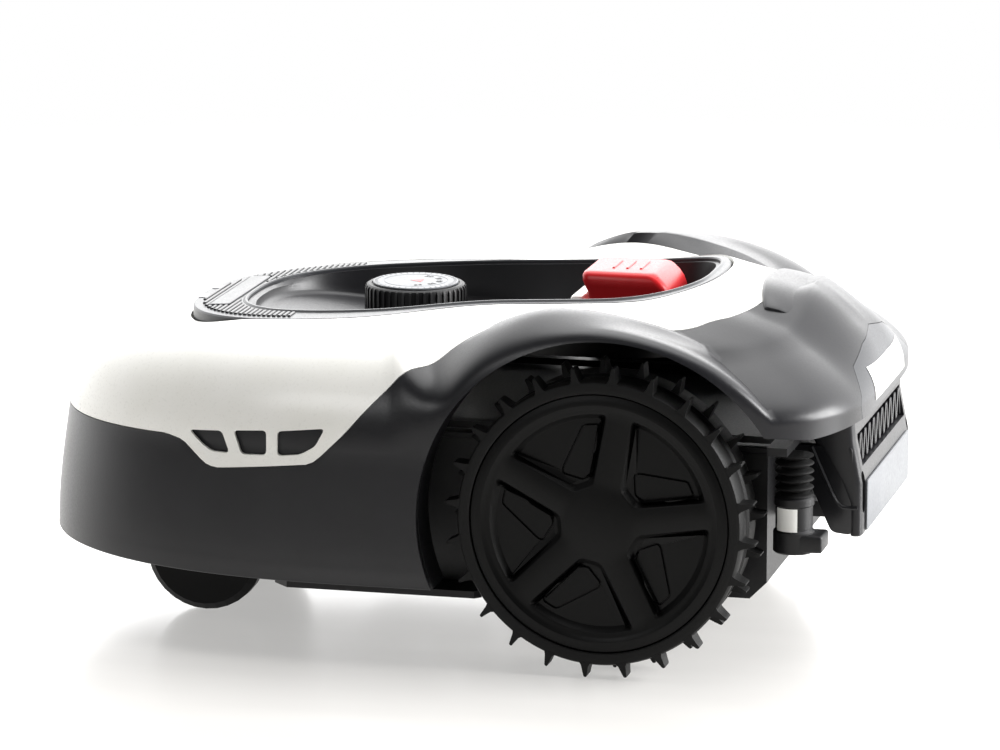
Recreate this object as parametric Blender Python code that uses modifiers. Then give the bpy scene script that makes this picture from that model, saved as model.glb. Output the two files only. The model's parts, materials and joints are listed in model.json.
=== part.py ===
"""Robotic lawn mower: floating shell over a driven chassis with a height-adjustable blade disc.

Metres, +Z up, +X to the front, +Y to the left. The origin is on the ground under the middle.
"""

from math import cos, copysign, hypot, pi, sin, sqrt

import bmesh
import bpy
from mathutils import Matrix, Vector

# ---------------------------------------------------------------- overall sizes
LENGTH = 0.610
WIDTH = 0.404
WHEEL_RADIUS = 0.110          # over the spike tips
WHEEL_WIDTH = 0.055
REAR_OVERHANG = 0.169         # drive axle to the rearmost face
GAP = 0.0003                  # between touching pieces
SKIN = 0.0028                 # wall of the outer mouldings

NOSE_X = LENGTH / 2
REAR_X = -LENGTH / 2
HALF_WIDTH = WIDTH / 2
AXLE_X = REAR_X + REAR_OVERHANG
AXLE_Z = WHEEL_RADIUS

# ---------------------------------------------------------------- outer body
SKIRT_Z = 0.058               # lower edge of the skirt
CREASE_Z = 0.080
ARCH_CLEARANCE = 0.018        # tyre to wheel arch
LIP = 0.013                   # width of the arch lip
ARCH_RADIUS = WHEEL_RADIUS + ARCH_CLEARANCE
LIP_RADIUS = ARCH_RADIUS + LIP
FENDER_TOP = AXLE_Z + LIP_RADIUS - 0.002
BELT_Z = FENDER_TOP - 0.099   # widest line of the body
REAR_EDGE_Z = FENDER_TOP - 0.077
PLAN_CENTRE_X = AXLE_X + 0.175
COLUMNS = 34                  # around half of the outline
INWARD_ROWS = (0.02, 0.08, 0.22, 0.5, 1.0)    # rings from the belt in to the deck
DECK_FRONT_X = NOSE_X - 0.099
DECK_REAR_X = AXLE_X - 0.051
DECK_HALF_WIDTH = 0.116
DECK_WAIST = 0.087            # half width beside the STOP button
DECK_SEAM = 0.0018            # hood's edge to the deck's frame
DECK_DEPTH = 0.004            # how deep the deck's frame is

# ---------------------------------------------------------------- wheels
WHEEL_INSET = 0.0075          # tyre face inside the shell's widest line
WHEEL_FACE_Y = HALF_WIDTH - WHEEL_INSET
WHEEL_INNER_Y = WHEEL_FACE_Y - WHEEL_WIDTH
SPIKE_HEIGHT = 0.0095
SPIKES = 24
RIM_RADIUS = 0.0915
HUB_RADIUS = 0.088
SHAFT_RADIUS = 0.007
RUNNING_CLEARANCE = 0.002

# ---------------------------------------------------------------- chassis
TUB_HALF_WIDTH = WHEEL_INNER_Y - 0.0155
TUB_FLOOR_Z = 0.046
TUB_TOP_Z = 0.150
TUB_REAR_X = AXLE_X - 0.105
TUB_STEP_X = AXLE_X + 0.274   # the floor rises in front of here, over the casters
TUB_FRONT_X = NOSE_X - 0.045
TUB_FRONT_FLOOR_Z = 0.102
TUB_FRONT_HALF_WIDTH = 0.077
TUB_WALL = 0.003
LID_THICKNESS = 0.0035

# ---------------------------------------------------------------- cutter
CUTTER_X = AXLE_X + 0.175
BLADE_Z = 0.045               # blades at the middle cutting height
CUT_TRAVEL = 0.020
DISC_RADIUS = 0.072
BLADE_PIVOT_RADIUS = 0.064
BLADE_LENGTH = 0.034
BLADES = 3
DOME_RADIUS = 0.104
DOME_TOP_Z = 0.090
MOTOR_RADIUS = 0.024

# ---------------------------------------------------------------- knob and button
KNOB_X = CUTTER_X + 0.005
KNOB_RADIUS = 0.037
KNOB_TOP_Z = FENDER_TOP - 0.013
KNOB_HEIGHT = 0.036
KNOB_WELL_GAP = 0.0065
RECESS_FLOOR_Z = FENDER_TOP - 0.045
STOP_LENGTH = 0.062
STOP_HALF_WIDTH = 0.030
STOP_X = AXLE_X + 0.016
STOP_TOP_Z = FENDER_TOP + 0.006
STOP_HEIGHT = 0.034
STOP_TRAVEL = 0.004

# ---------------------------------------------------------------- front casters
CASTER_RADIUS = 0.044
CASTER_WIDTH = 0.020
CASTER_TRAIL = 0.018
CASTER_Y = 0.0655
CASTER_X = NOSE_X - 0.103
STEM_RADIUS = 0.006
FORK_CHEEK = 0.003
FORK_CLEARANCE = 0.0015

# ---------------------------------------------------------------- rear
TAIL_HALF_WIDTH = 0.098
TAIL_BOTTOM_Z = 0.088
LABEL_HALF_WIDTH = 0.085
LABEL_THICKNESS = 0.0015
POST_X = AXLE_X - 0.127
POST_RADIUS = 0.0145

PARTS = None
CUTTERS = None
MATERIALS = {}


# ---------------------------------------------------------------- scene helpers
def clear_scene():
    """Remove every object and make the two collections."""
    global PARTS, CUTTERS
    for old in list(bpy.data.objects):
        bpy.data.objects.remove(old, do_unlink=True)
    PARTS = bpy.data.collections.new("robotic_lawn_mower")
    CUTTERS = bpy.data.collections.new("cutters")
    bpy.context.scene.collection.children.link(PARTS)
    bpy.context.scene.collection.children.link(CUTTERS)


def make_material(name, colour, roughness, metallic=0.0):
    material = bpy.data.materials.new(name)
    material.use_nodes = True
    shader = material.node_tree.nodes["Principled BSDF"]
    shader.inputs["Base Color"].default_value = (*colour, 1.0)
    shader.inputs["Roughness"].default_value = roughness
    shader.inputs["Metallic"].default_value = metallic
    material.diffuse_color = (*colour, 1.0)
    MATERIALS[name] = material


def make_materials():
    make_material("dark_plastic", (0.030, 0.030, 0.034), 0.45)
    make_material("pale_plastic", (0.80, 0.80, 0.77), 0.40)
    make_material("grey_plastic", (0.055, 0.055, 0.060), 0.50)
    make_material("wheel_plastic", (0.012, 0.012, 0.012), 0.50)
    make_material("rubber", (0.015, 0.015, 0.015), 0.75)
    make_material("red_plastic", (0.55, 0.012, 0.012), 0.35)
    make_material("steel", (0.60, 0.60, 0.60), 0.30, 1.0)
    make_material("circuit_board", (0.02, 0.16, 0.06), 0.50)
    make_material("battery_wrap", (0.03, 0.06, 0.20), 0.50)
    make_material("label_stock", (0.60, 0.60, 0.62), 0.40)


def new_object(name, mesh, material, origin=(0, 0, 0)):
    """Put a mesh, given around its own origin, into the model."""
    obj = bpy.data.objects.new(name, mesh)
    obj.location = origin
    if material is None:
        CUTTERS.objects.link(obj)
        obj.hide_render = True
        obj.display_type = "WIRE"
        return obj
    PARTS.objects.link(obj)
    mesh.materials.clear()
    mesh.materials.append(MATERIALS[material])
    mesh.shade_smooth()
    mesh.set_sharp_from_angle(angle=0.6)
    return obj


def mesh_from(bm, name):
    bmesh.ops.recalc_face_normals(bm, faces=bm.faces)
    mesh = bpy.data.meshes.new(name)
    bm.to_mesh(mesh)
    bm.free()
    return mesh


def evaluated_mesh(obj, name):
    """The object's mesh with its modifiers applied, welded and facing out."""
    bpy.context.view_layer.update()
    depsgraph = bpy.context.evaluated_depsgraph_get()
    bm = bmesh.new()
    bm.from_mesh(bpy.data.meshes.new_from_object(obj.evaluated_get(depsgraph)))
    bmesh.ops.remove_doubles(bm, verts=bm.verts, dist=1e-6)
    return mesh_from(bm, name)


def box(name, low, high, material, origin=(0, 0, 0), bevel=0.0):
    """A box between two corners given in the model's frame."""
    bm = bmesh.new()
    bmesh.ops.create_cube(bm, size=1.0)
    low, high, origin = Vector(low), Vector(high), Vector(origin)
    size = high - low
    middle = (low + high) / 2 - origin
    bmesh.ops.scale(bm, vec=size, verts=bm.verts)
    bmesh.ops.translate(bm, vec=middle, verts=bm.verts)
    obj = new_object(name, mesh_from(bm, name), material, origin)
    if bevel:
        add_bevel(obj, bevel)
    return obj


def add_bevel(obj, width, segments=1):
    modifier = obj.modifiers.new("rounded_edges", "BEVEL")
    modifier.width = width
    modifier.segments = segments
    modifier.limit_method = "ANGLE"
    return modifier


def turned(name, profile, material, origin, axis="Z", steps=24):
    """A turned solid: profile points are (radius, height) round the axis."""
    mesh = bpy.data.meshes.new(name)
    points = [(radius, 0.0, height) for radius, height in profile]
    edges = [(i, i + 1) for i in range(len(points) - 1)]
    if profile[0][0] > 0 or profile[-1][0] > 0:
        edges.append((len(points) - 1, 0))
    mesh.from_pydata(points, edges, [])
    blank = bpy.data.objects.new(name + "_profile", mesh)
    CUTTERS.objects.link(blank)
    screw = blank.modifiers.new("turn", "SCREW")
    screw.steps = steps
    screw.render_steps = steps
    screw.use_merge_vertices = True
    screw.merge_threshold = 1e-5
    solid = evaluated_mesh(blank, name)
    bpy.data.objects.remove(blank, do_unlink=True)
    solid.transform(axis_turn(axis))
    return new_object(name, solid, material, origin)


def axis_turn(axis):
    """The turn that takes +Z to the named axis."""
    if axis == "Y":
        return Matrix.Rotation(-pi / 2, 4, "X")
    if axis == "-Y":
        return Matrix.Rotation(pi / 2, 4, "X")
    if axis == "X":
        return Matrix.Rotation(pi / 2, 4, "Y")
    return Matrix.Identity(4)


def rod(name, radius, low, high, material, origin, axis="Z", steps=24):
    """A solid cylinder from low to high along the axis."""
    profile = [(0, high), (radius, high), (radius, low), (0, low)]
    return turned(name, profile, material, origin, axis, steps)


def ring(name, inner, outer, low, high, material, origin, axis="Z", steps=24):
    profile = [(inner, high), (outer, high), (outer, low), (inner, low)]
    return turned(name, profile, material, origin, axis, steps)


def flat_plate(name, outline, low, high, material, normal="Z", origin=(0, 0, 0)):
    """A flat outline with thickness; its points are in the plane square to the normal."""
    curve = bpy.data.curves.new(name, "CURVE")
    curve.dimensions = "2D"
    curve.fill_mode = "BOTH"
    curve.extrude = (high - low) / 2
    spline = curve.splines.new("POLY")
    spline.points.add(len(outline) - 1)
    for point, (u, v) in zip(spline.points, outline):
        point.co = (u, v, 0.0, 1.0)
    spline.use_cyclic_u = True
    blank = bpy.data.objects.new(name + "_outline", curve)
    CUTTERS.objects.link(blank)
    mesh = evaluated_mesh(blank, name)
    bpy.data.objects.remove(blank, do_unlink=True)
    mesh.transform(Matrix.Translation((0, 0, (low + high) / 2)))
    if normal == "Y":
        mesh.transform(Matrix(((1, 0, 0, 0), (0, 0, 1, 0), (0, 1, 0, 0), (0, 0, 0, 1))))
    if normal == "X":
        mesh.transform(Matrix(((0, 0, 1, 0), (1, 0, 0, 0), (0, 1, 0, 0), (0, 0, 0, 1))))
    bm = bmesh.new()
    bm.from_mesh(mesh)
    return new_object(name, mesh_from(bm, name), material, origin)


def loft(name, rings, material, origin=(0, 0, 0), loop=False, split_caps=False):
    """A solid through rings of equal point counts, capped or joined last to first."""
    bm = bmesh.new()
    rows = [[bm.verts.new(point) for point in points] for points in rings]
    count = len(rows[0])
    pairs = list(zip(rows, rows[1:]))
    if loop:
        pairs.append((rows[-1], rows[0]))
    for near, far in pairs:
        for i in range(count):
            j = (i + 1) % count
            bm.faces.new((near[i], near[j], far[j], far[i]))
    if not loop and split_caps:
        for row in (rows[0], list(reversed(rows[-1]))):
            cap_across(bm, row)
    elif not loop:
        bm.faces.new(rows[0])
        bm.faces.new(list(reversed(rows[-1])))
    return new_object(name, mesh_from(bm, name), material, origin)


def cap_across(bm, row):
    """Close a ring that is the same left and right with strips from side to side."""
    count = len(row)
    for i in range(count // 2):
        corners = [row[i], row[i + 1], row[(count - i - 1) % count], row[(count - i) % count]]
        bm.faces.new(list(dict.fromkeys(corners)))


def apply_modifiers(obj):
    """Turn the evaluated shape into the object's own mesh."""
    mesh = evaluated_mesh(obj, obj.name)
    materials = list(obj.data.materials)
    obj.modifiers.clear()
    obj.data = mesh
    for slot in materials:
        mesh.materials.append(slot)
    return obj


def cut(obj, cutter, operation="DIFFERENCE"):
    """Boolean with a cutter; a part's own pieces join with UNION."""
    modifier = obj.modifiers.new("cut", "BOOLEAN")
    modifier.object = cutter
    modifier.operation = operation
    modifier.solver = "EXACT"
    apply_modifiers(obj)
    bpy.data.objects.remove(cutter, do_unlink=True)
    return obj


def mirrored_copy(obj, name):
    """The right-hand twin of a left-hand piece."""
    mesh = obj.data.copy()
    mesh.transform(Matrix.Scale(-1, 4, (0, 1, 0)))
    bm = bmesh.new()
    bm.from_mesh(mesh)
    x, y, z = obj.location
    twin = new_object(name, mesh_from(bm, name), obj.data.materials[0].name, (x, -y, z))
    for old in obj.modifiers:
        copy = twin.modifiers.new(old.name, old.type)
        copy.width = old.width
        copy.segments = old.segments
        copy.limit_method = old.limit_method
    return twin


# ---------------------------------------------------------------- body surface
def blend(low, high, value):
    """0 below low, 1 above high, smooth in between."""
    t = min(max((value - low) / (high - low), 0.0), 1.0)
    return t * t * (3 - 2 * t)


def along(x, stops):
    """Straight-line value between (place, value) stops in falling order of place."""
    if x >= stops[0][0]:
        return stops[0][1]
    for (xa, a), (xb, b) in zip(stops, stops[1:]):
        if x >= xb:
            return b + (a - b) * (x - xb) / (xa - xb)
    return stops[-1][1]


def even_points(path, count):
    """Points at even steps of length along a path of (x, y)."""
    lengths = [0.0]
    for a, b in zip(path, path[1:]):
        lengths.append(lengths[-1] + hypot(b[0] - a[0], b[1] - a[1]))
    result = []
    k = 0
    for i in range(count + 1):
        target = lengths[-1] * i / count
        while k < len(path) - 2 and lengths[k + 1] < target:
            k += 1
        t = (target - lengths[k]) / (lengths[k + 1] - lengths[k])
        a, b = path[k], path[k + 1]
        result.append((a[0] + (b[0] - a[0]) * t, a[1] + (b[1] - a[1]) * t))
    return result


def body_outline(inset_front=0.0, inset_side=0.0):
    """Half of the shell's plan, from the nose round the left to the rear."""
    path = []
    samples = 400
    half_width = HALF_WIDTH - inset_side
    for i in range(samples + 1):
        angle = pi * i / samples
        c, s = cos(angle), sin(angle)
        power = 2.35 if c >= 0 else 4.5
        reach = NOSE_X - inset_front - PLAN_CENTRE_X if c >= 0 else PLAN_CENTRE_X - REAR_X
        x = PLAN_CENTRE_X + copysign(reach * abs(c) ** (2 / power), c)
        path.append((x, half_width * abs(s) ** (2 / power)))
    return even_points(path, COLUMNS)


def deck_outline(inset=0.0, count=COLUMNS):
    """Half of the top deck's plan, wide round the knob and narrow round the button."""
    wide_x = AXLE_X + 0.205
    waist_x = AXLE_X + 0.090
    rear_x = AXLE_X - 0.003
    front = DECK_FRONT_X - inset
    rear = DECK_REAR_X + inset
    path = []
    samples = 60
    for i in range(samples + 1):
        angle = pi / 2 * i / samples
        x = wide_x + (front - wide_x) * cos(angle) ** (2 / 2.5)
        path.append((x, (DECK_HALF_WIDTH - inset) * sin(angle) ** (2 / 2.5)))
    for i in range(1, samples):
        x = wide_x + (rear_x - wide_x) * i / samples
        taper = blend(waist_x, wide_x, x)
        half_width = DECK_WAIST + (DECK_HALF_WIDTH - DECK_WAIST) * taper
        path.append((x, half_width - inset))
    for i in range(samples + 1):
        angle = pi / 2 * i / samples
        x = rear_x + (rear - rear_x) * sin(angle) ** (2 / 2.2)
        path.append((x, (DECK_WAIST - inset) * max(cos(angle), 0.0) ** (2 / 2.2)))
    return even_points(path, count)


def deck_height(x):
    """Height of the deck's surface, rising from the nose to the tail."""
    return FENDER_TOP + along(x, [
        (DECK_FRONT_X, -0.029),
        (AXLE_X + 0.280, -0.025),
        (AXLE_X + 0.181, -0.0175),
        (AXLE_X + 0.121, -0.011),
        (AXLE_X - 0.003, -0.004),
        (DECK_REAR_X, 0.007),
    ])


def shoulder_height(x, deck_z):
    """Height of the outer shoulder: it follows the wheel arch, then meets the hood."""
    from_axle = x - AXLE_X
    reach = min(abs(from_axle), LIP_RADIUS * 0.96)
    arch = AXLE_Z + sqrt(LIP_RADIUS ** 2 - reach ** 2) - 0.002
    if from_axle > 0:
        return arch + (deck_z - arch) * blend(LIP_RADIUS * 0.72, LIP_RADIUS * 1.04, from_axle)
    return max(arch, FENDER_TOP - 0.062)


def section_power(x):
    """How square the section is: round on the hood, square over the wheels."""
    from_axle = x - AXLE_X
    if from_axle > 0:
        return 9.0 + (2.4 - 9.0) * blend(0.090, 0.135, from_axle)
    return 9.0 + 2.0 * blend(0.0, 0.06, -from_axle)


def rise_inward(x, y, inward):
    """Climb from shoulder to deck: straight ahead of the axle, rounded behind it, most at the middle."""
    curve = 1.0 + blend(0.0, 0.09, AXLE_X - x) * (0.3 + 0.7 * (1 - blend(0.02, 0.10, abs(y))))
    return (1 - (1 - inward) ** curve) ** (1 / curve)


def belt_height(x):
    return BELT_Z + (REAR_EDGE_Z - BELT_Z) * blend(-0.10, 0.10, AXLE_X - x)


def body_rings():
    """Rings of the outer surface from the skirt's edge up to the deck's edge."""
    foot = body_outline()
    crease = body_outline(0.001, 0.0)
    belt = body_outline(0.010, 0.004)
    deck = deck_outline()
    halves = [
        [(x, y, SKIRT_Z) for x, y in foot],
        [(x, y, CREASE_Z) for x, y in crease],
        [(x, y, belt_height(x)) for x, y in belt],
    ]
    for inward in INWARD_ROWS:
        half = []
        for (bx, by), (dx, dy) in zip(belt, deck):
            power = section_power(bx)
            upward = (1 - (1 - inward) ** power) ** (1 / power)
            deck_z = deck_height(dx)
            top_z = shoulder_height(bx, deck_z)
            top_z += (deck_z - top_z) * rise_inward(bx, by, inward)
            low_z = belt_height(bx)
            z = low_z + (top_z - low_z) * upward
            half.append((bx + (dx - bx) * inward, by + (dy - by) * inward, z))
        halves.append(half)
    rings = []
    for half in halves:
        right = [(x, -y, z) for x, y, z in reversed(half[1:-1])]
        rings.append([Vector(point) for point in half + right])
    return rings


def body_skin(name, material, sunk=0.0, wall=SKIN):
    """The body's surface as a thin closed wall, sunk below the outer face."""
    bm = bmesh.new()
    rows = [[bm.verts.new(point) for point in points] for points in body_rings()]
    count = len(rows[0])
    for low, high in zip(rows, rows[1:]):
        for i in range(count):
            j = (i + 1) % count
            bm.faces.new((low[i], low[j], high[j], high[i]))
    mesh = bpy.data.meshes.new(name)
    bm.to_mesh(mesh)
    bm.free()
    obj = new_object(name, mesh, material)
    if sunk:
        push = obj.modifiers.new("sink", "DISPLACE")
        push.strength = -sunk
        push.mid_level = 0.0
    thick = obj.modifiers.new("wall", "SOLIDIFY")
    thick.thickness = wall
    thick.offset = -1.0
    return apply_modifiers(obj)


def hood_split_points(margin):
    """Two curves that part hood from shell: heights ahead, and z minus |y| behind."""
    meet_x = AXLE_X + 0.204
    heights = [
        (NOSE_X + 0.05, BELT_Z - 0.002), (AXLE_X + 0.316, BELT_Z + 0.004),
        (AXLE_X + 0.302, BELT_Z + 0.001), (AXLE_X + 0.284, BELT_Z - 0.014),
        (AXLE_X + 0.276, BELT_Z - 0.016), (meet_x, BELT_Z - 0.008),
    ]
    slants = [
        (meet_x, -0.0565), (AXLE_X + 0.180, -0.033), (AXLE_X + 0.162, -0.008),
        (AXLE_X + 0.146, 0.016), (AXLE_X + 0.132, 0.037), (AXLE_X + 0.113, 0.062),
        (AXLE_X + 0.079, 0.092), (AXLE_X + 0.040, 0.105), (AXLE_X + 0.005, 0.112),
        (AXLE_X - 0.031, 0.1175), (AXLE_X - 0.059, 0.121), (AXLE_X - 0.072, 0.131),
        (AXLE_X - 0.080, 0.145), (AXLE_X - 0.096, 0.174), (AXLE_X - 0.108, 0.240),
        (AXLE_X - 0.112, 0.300),
    ]
    raise_slants = FENDER_TOP - 0.249 - (HALF_WIDTH - 0.202)
    heights = [(x, z + margin) for x, z in heights]
    slants = [(x, q + raise_slants + margin * sqrt(2)) for x, q in slants]
    return heights, slants


def hood_zone(name, margin):
    """The space that the hood takes out of the body's skin."""
    heights, slants = hood_split_points(margin)
    meet_x = heights[-1][0]
    rear_x = slants[-1][0] - 0.02
    far = 0.6
    side = heights + [(meet_x, -0.1), (rear_x, -0.1), (rear_x, far), (heights[0][0], far)]
    zone = flat_plate(name, side, -far, far, None, "Y")
    ahead = [(heights[0][0], -far), (meet_x, -far)]
    slant = ahead + slants + [(slants[-1][0], far), (heights[0][0], far)]
    for hand in (1, -1):
        points = []
        for shift in (-far, far):
            points.append([Vector((x, hand * (shift - q / 2), shift + q / 2)) for x, q in slant])
        wedge = loft(name + "_wedge", points, None)
        cut(zone, wedge, "INTERSECT")
    return zone


# ---------------------------------------------------------------- shell pieces
def arch_cutter():
    """Everything the wheels and the rear undercut need clear."""
    axle = (AXLE_X, 0, AXLE_Z)
    inner_y = WHEEL_INNER_Y - 0.020
    tunnel = rod("arch_cut", ARCH_RADIUS, inner_y, WIDTH, None, axle, "Y", 48)
    cut(tunnel, rod("arch_right", ARCH_RADIUS, -WIDTH, -inner_y, None, axle, "Y", 48), "UNION")
    undercut = [
        (AXLE_X - 0.095, SKIRT_Z - 0.02), (AXLE_X - 0.095, REAR_EDGE_Z),
        (AXLE_X - 0.125, REAR_EDGE_Z), (AXLE_X - 0.140, REAR_EDGE_Z - 0.004),
        (AXLE_X - 0.165, REAR_EDGE_Z), (REAR_X - 0.02, REAR_EDGE_Z),
        (REAR_X - 0.02, SKIRT_Z - 0.02),
    ]
    cut(tunnel, flat_plate("undercut", undercut, -WIDTH, WIDTH, None, "Y"), "UNION")
    low = [AXLE_X - 0.10, -WIDTH, SKIRT_Z - 0.02]
    high = [AXLE_X + ARCH_RADIUS * 0.92, WIDTH, AXLE_Z - 0.05]
    return cut(tunnel, box("arch_mouth", low, high, None), "UNION")


def rear_panel_outline(grow):
    """Five-sided plate on the rear slope, seen from behind: (y, z)."""
    half = [
        (0.0, REAR_EDGE_Z + 0.048 + grow), (0.072 + grow, REAR_EDGE_Z + 0.032 + grow),
        (0.098 + grow, REAR_EDGE_Z + 0.010), (0.088 + grow, REAR_EDGE_Z - 0.02),
    ]
    return half + [(-y, z) for y, z in reversed(half[1:])]


def make_shell():
    """Dark lower shell, pale hood and the rear panel, all parted from one skin."""
    lower = body_skin("lower_shell", "dark_plastic")
    hood = body_skin("hood", "pale_plastic")
    panel = body_skin("rear_panel", "grey_plastic")
    cut(lower, arch_cutter())
    cut(panel, arch_cutter())
    cut(lower, hood_zone("hood_gap", -GAP))
    cut(hood, hood_zone("hood_space", GAP), "INTERSECT")
    window = flat_plate("panel_gap", rear_panel_outline(GAP), REAR_X - 0.05, REAR_X + 0.09, None, "X")
    cut(lower, window)
    plate = flat_plate("panel_space", rear_panel_outline(0), REAR_X - 0.05, REAR_X + 0.09, None, "X")
    cut(panel, plate, "INTERSECT")
    cut_vent_windows(hood)
    make_vent_insert()


def vent_window_outlines():
    """Three slanted windows low on the flank: (x, z), front to rear."""
    top = BELT_Z + 0.014
    low = BELT_Z - 0.0045
    return [
        [(AXLE_X + 0.297, BELT_Z + 0.009), (AXLE_X + 0.271, top - 0.003), (AXLE_X + 0.265, low),
         (AXLE_X + 0.279, low), (AXLE_X + 0.287, BELT_Z)],
        [(AXLE_X + 0.262, top - 0.002), (AXLE_X + 0.237, top), (AXLE_X + 0.237, low + 0.001),
         (AXLE_X + 0.256, low)],
        [(AXLE_X + 0.229, top), (AXLE_X + 0.194, top + 0.004), (AXLE_X + 0.201, BELT_Z + 0.005),
         (AXLE_X + 0.212, low + 0.003), (AXLE_X + 0.229, low + 0.001)],
    ]


def cut_vent_windows(hood):
    for number, outline in enumerate(vent_window_outlines()):
        for hand in (1, -1):
            reach = sorted((hand * (HALF_WIDTH - 0.06), hand * (HALF_WIDTH + 0.01)))
            cut(hood, flat_plate(f"window_{number}", outline, *reach, None, "Y"))


def make_vent_insert():
    """Dark plate behind the three windows of each flank."""
    low_z, high_z = BELT_Z - 0.0065, BELT_Z + 0.020
    for name, hand in (("vent_insert_left", 1), ("vent_insert_right", -1)):
        insert = body_skin(name, "dark_plastic", SKIN + 2 * GAP, 0.0015)
        reach = sorted((hand * (HALF_WIDTH - 0.07), hand * (HALF_WIDTH + 0.01)))
        low = (AXLE_X + 0.190, reach[0], low_z)
        high = (AXLE_X + 0.300, reach[1], high_z)
        cut(insert, box(name + "_space", low, high, None), "INTERSECT")


def closed_ring(half, z_of):
    """A whole outline from its left half, lifted to a height for each x."""
    points = [(x, y, z_of(x)) for x, y in half]
    return [Vector(p) for p in points + [(x, -y, z) for x, y, z in reversed(points[1:-1])]]


def make_deck():
    """The grey frame on top and the recess tray inside it."""
    count = COLUMNS
    outer = deck_outline(DECK_SEAM)
    inner = recess_outline(0.0, count)
    rings = [
        closed_ring(outer, lambda x: deck_height(x) - DECK_DEPTH),
        closed_ring(outer, lambda x: deck_height(x)),
        closed_ring(inner, lambda x: deck_height(x) + 0.001),
        closed_ring(inner, lambda x: deck_height(x) - DECK_DEPTH),
    ]
    loft("deck_frame", rings, "grey_plastic", loop=True)
    top = recess_outline(GAP, count)
    foot = recess_outline(0.004, count)
    wall = 0.0025
    top_in = recess_outline(GAP + wall, count)
    foot_in = recess_outline(0.004 + wall, count)
    floor = RECESS_FLOOR_Z
    outside = [
        closed_ring(foot, lambda x: recess_floor(x) - wall),
        closed_ring(top, lambda x: deck_height(x) - 0.001),
        closed_ring(top_in, lambda x: deck_height(x) - 0.001),
        closed_ring(foot_in, recess_floor),
    ]
    tray = loft("recess_tray", outside, "grey_plastic", split_caps=True)
    well = KNOB_RADIUS + KNOB_WELL_GAP
    cut(tray, rod("knob_well", well, floor - 0.03, floor + 0.03, None, (KNOB_X, 0, 0), steps=32))


def recess_outline(inset, count):
    """Half of the recess inside the deck's frame."""
    front = AXLE_X + 0.300 - inset
    rear = DECK_REAR_X + 0.011 + inset
    mid = AXLE_X + 0.060
    path = []
    samples = 60
    for i in range(samples + 1):
        angle = pi / 2 * i / samples
        x = AXLE_X + 0.190 + (front - AXLE_X - 0.190) * cos(angle) ** (2 / 2.6)
        path.append((x, (0.091 - inset) * sin(angle) ** (2 / 2.6)))
    for i in range(1, samples):
        x = AXLE_X + 0.190 + (mid - AXLE_X - 0.190) * i / samples
        path.append((x, 0.077 + 0.014 * blend(AXLE_X + 0.09, AXLE_X + 0.19, x) - inset))
    for i in range(samples + 1):
        angle = pi / 2 * i / samples
        x = mid + (rear - mid) * sin(angle) ** (2 / 3.4)
        path.append((x, (0.077 - inset) * max(cos(angle), 0.0) ** (2 / 3.4)))
    return even_points(path, count)


def recess_floor(x):
    """The floor is level, with a ramp up to the deck's nose."""
    start = KNOB_X + KNOB_RADIUS + KNOB_WELL_GAP + 0.004
    end = AXLE_X + 0.300
    t = min(max((x - start) / (end - start), 0.0), 1.0)
    return RECESS_FLOOR_Z + (deck_height(end) - 0.008 - RECESS_FLOOR_Z) * t


def make_deck_fittings():
    """Name plate, contacts, button base and control panel."""
    plate_x = AXLE_X + 0.3125
    z = deck_height(plate_x) + 0.0024
    box("name_plate", (plate_x - 0.0075, -0.055, z), (plate_x + 0.0075, 0.055, z + 0.0016), "grey_plastic")
    for name, hand in (("contact_left", 1), ("contact_right", -1)):
        x = DECK_FRONT_X - 0.010
        low, high = sorted((hand * 0.012, hand * 0.022))
        z = deck_height(x) + 0.0024
        box(name, (x, low, z), (x + 0.006, high, z + 0.0016), "steel")
    floor = RECESS_FLOOR_Z + GAP
    base_x = STOP_X + STOP_LENGTH / 2
    box("stop_base", (base_x + 0.004, -0.022, floor), (base_x + 0.013, 0.022, STOP_TOP_Z - 0.020),
        "pale_plastic", bevel=0.0015)
    panel_x = AXLE_X + 0.098
    box("control_panel", (panel_x - 0.020, -0.030, floor), (panel_x + 0.020, 0.030, floor + 0.004),
        "dark_plastic", bevel=0.001)


def make_stop_button():
    """Big sprung push button on the recess floor."""
    low_z = STOP_TOP_Z - STOP_HEIGHT
    half = STOP_LENGTH / 2
    rings = []
    for z, grow in ((low_z, 0.003), (STOP_TOP_Z - 0.012, 0.0015), (STOP_TOP_Z - 0.003, 0.0), (STOP_TOP_Z, -0.004)):
        x, y = half + grow, STOP_HALF_WIDTH + grow
        corner = 0.006
        rings.append([Vector(p) for p in (
            (x, -y + corner, z), (x, y - corner, z), (x - corner, y, z), (-x + corner, y, z),
            (-x, y - corner, z), (-x, -y + corner, z), (-x + corner, -y, z), (x - corner, -y, z))])
    button = loft("stop_button", rings, "red_plastic", (STOP_X, 0, 0))
    stem_low = RECESS_FLOOR_Z + STOP_TRAVEL + 2 * GAP
    cut(button, rod("stem", 0.010, stem_low, low_z + 0.004, None, (STOP_X, 0, 0), steps=12), "UNION")


# ---------------------------------------------------------------- knob and cutter
def make_knob():
    """Serrated height knob with a printed dial, on a spindle that works the carriage."""
    origin = (KNOB_X, 0, 0)
    low = KNOB_TOP_Z - KNOB_HEIGHT
    teeth = 36
    rings = []
    for z, depth in ((low, 0.0), (KNOB_TOP_Z - 0.004, 0.0), (KNOB_TOP_Z - 0.001, 0.0025)):
        points = []
        for i in range(2 * teeth):
            radius = KNOB_RADIUS - depth - (0.0012 if i % 2 else 0.0)
            angle = pi * i / teeth
            points.append(Vector((radius * cos(angle), radius * sin(angle), z)))
        rings.append(points)
    loft("height_knob", rings, "wheel_plastic", origin)
    face = KNOB_TOP_Z - 0.001 + GAP
    rod("knob_dial", KNOB_RADIUS - 0.006, face, face + 0.0012, "label_stock", origin, steps=32)
    rod("knob_spindle", 0.005, low - 0.048, low - GAP, "steel", origin, steps=12)


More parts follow.
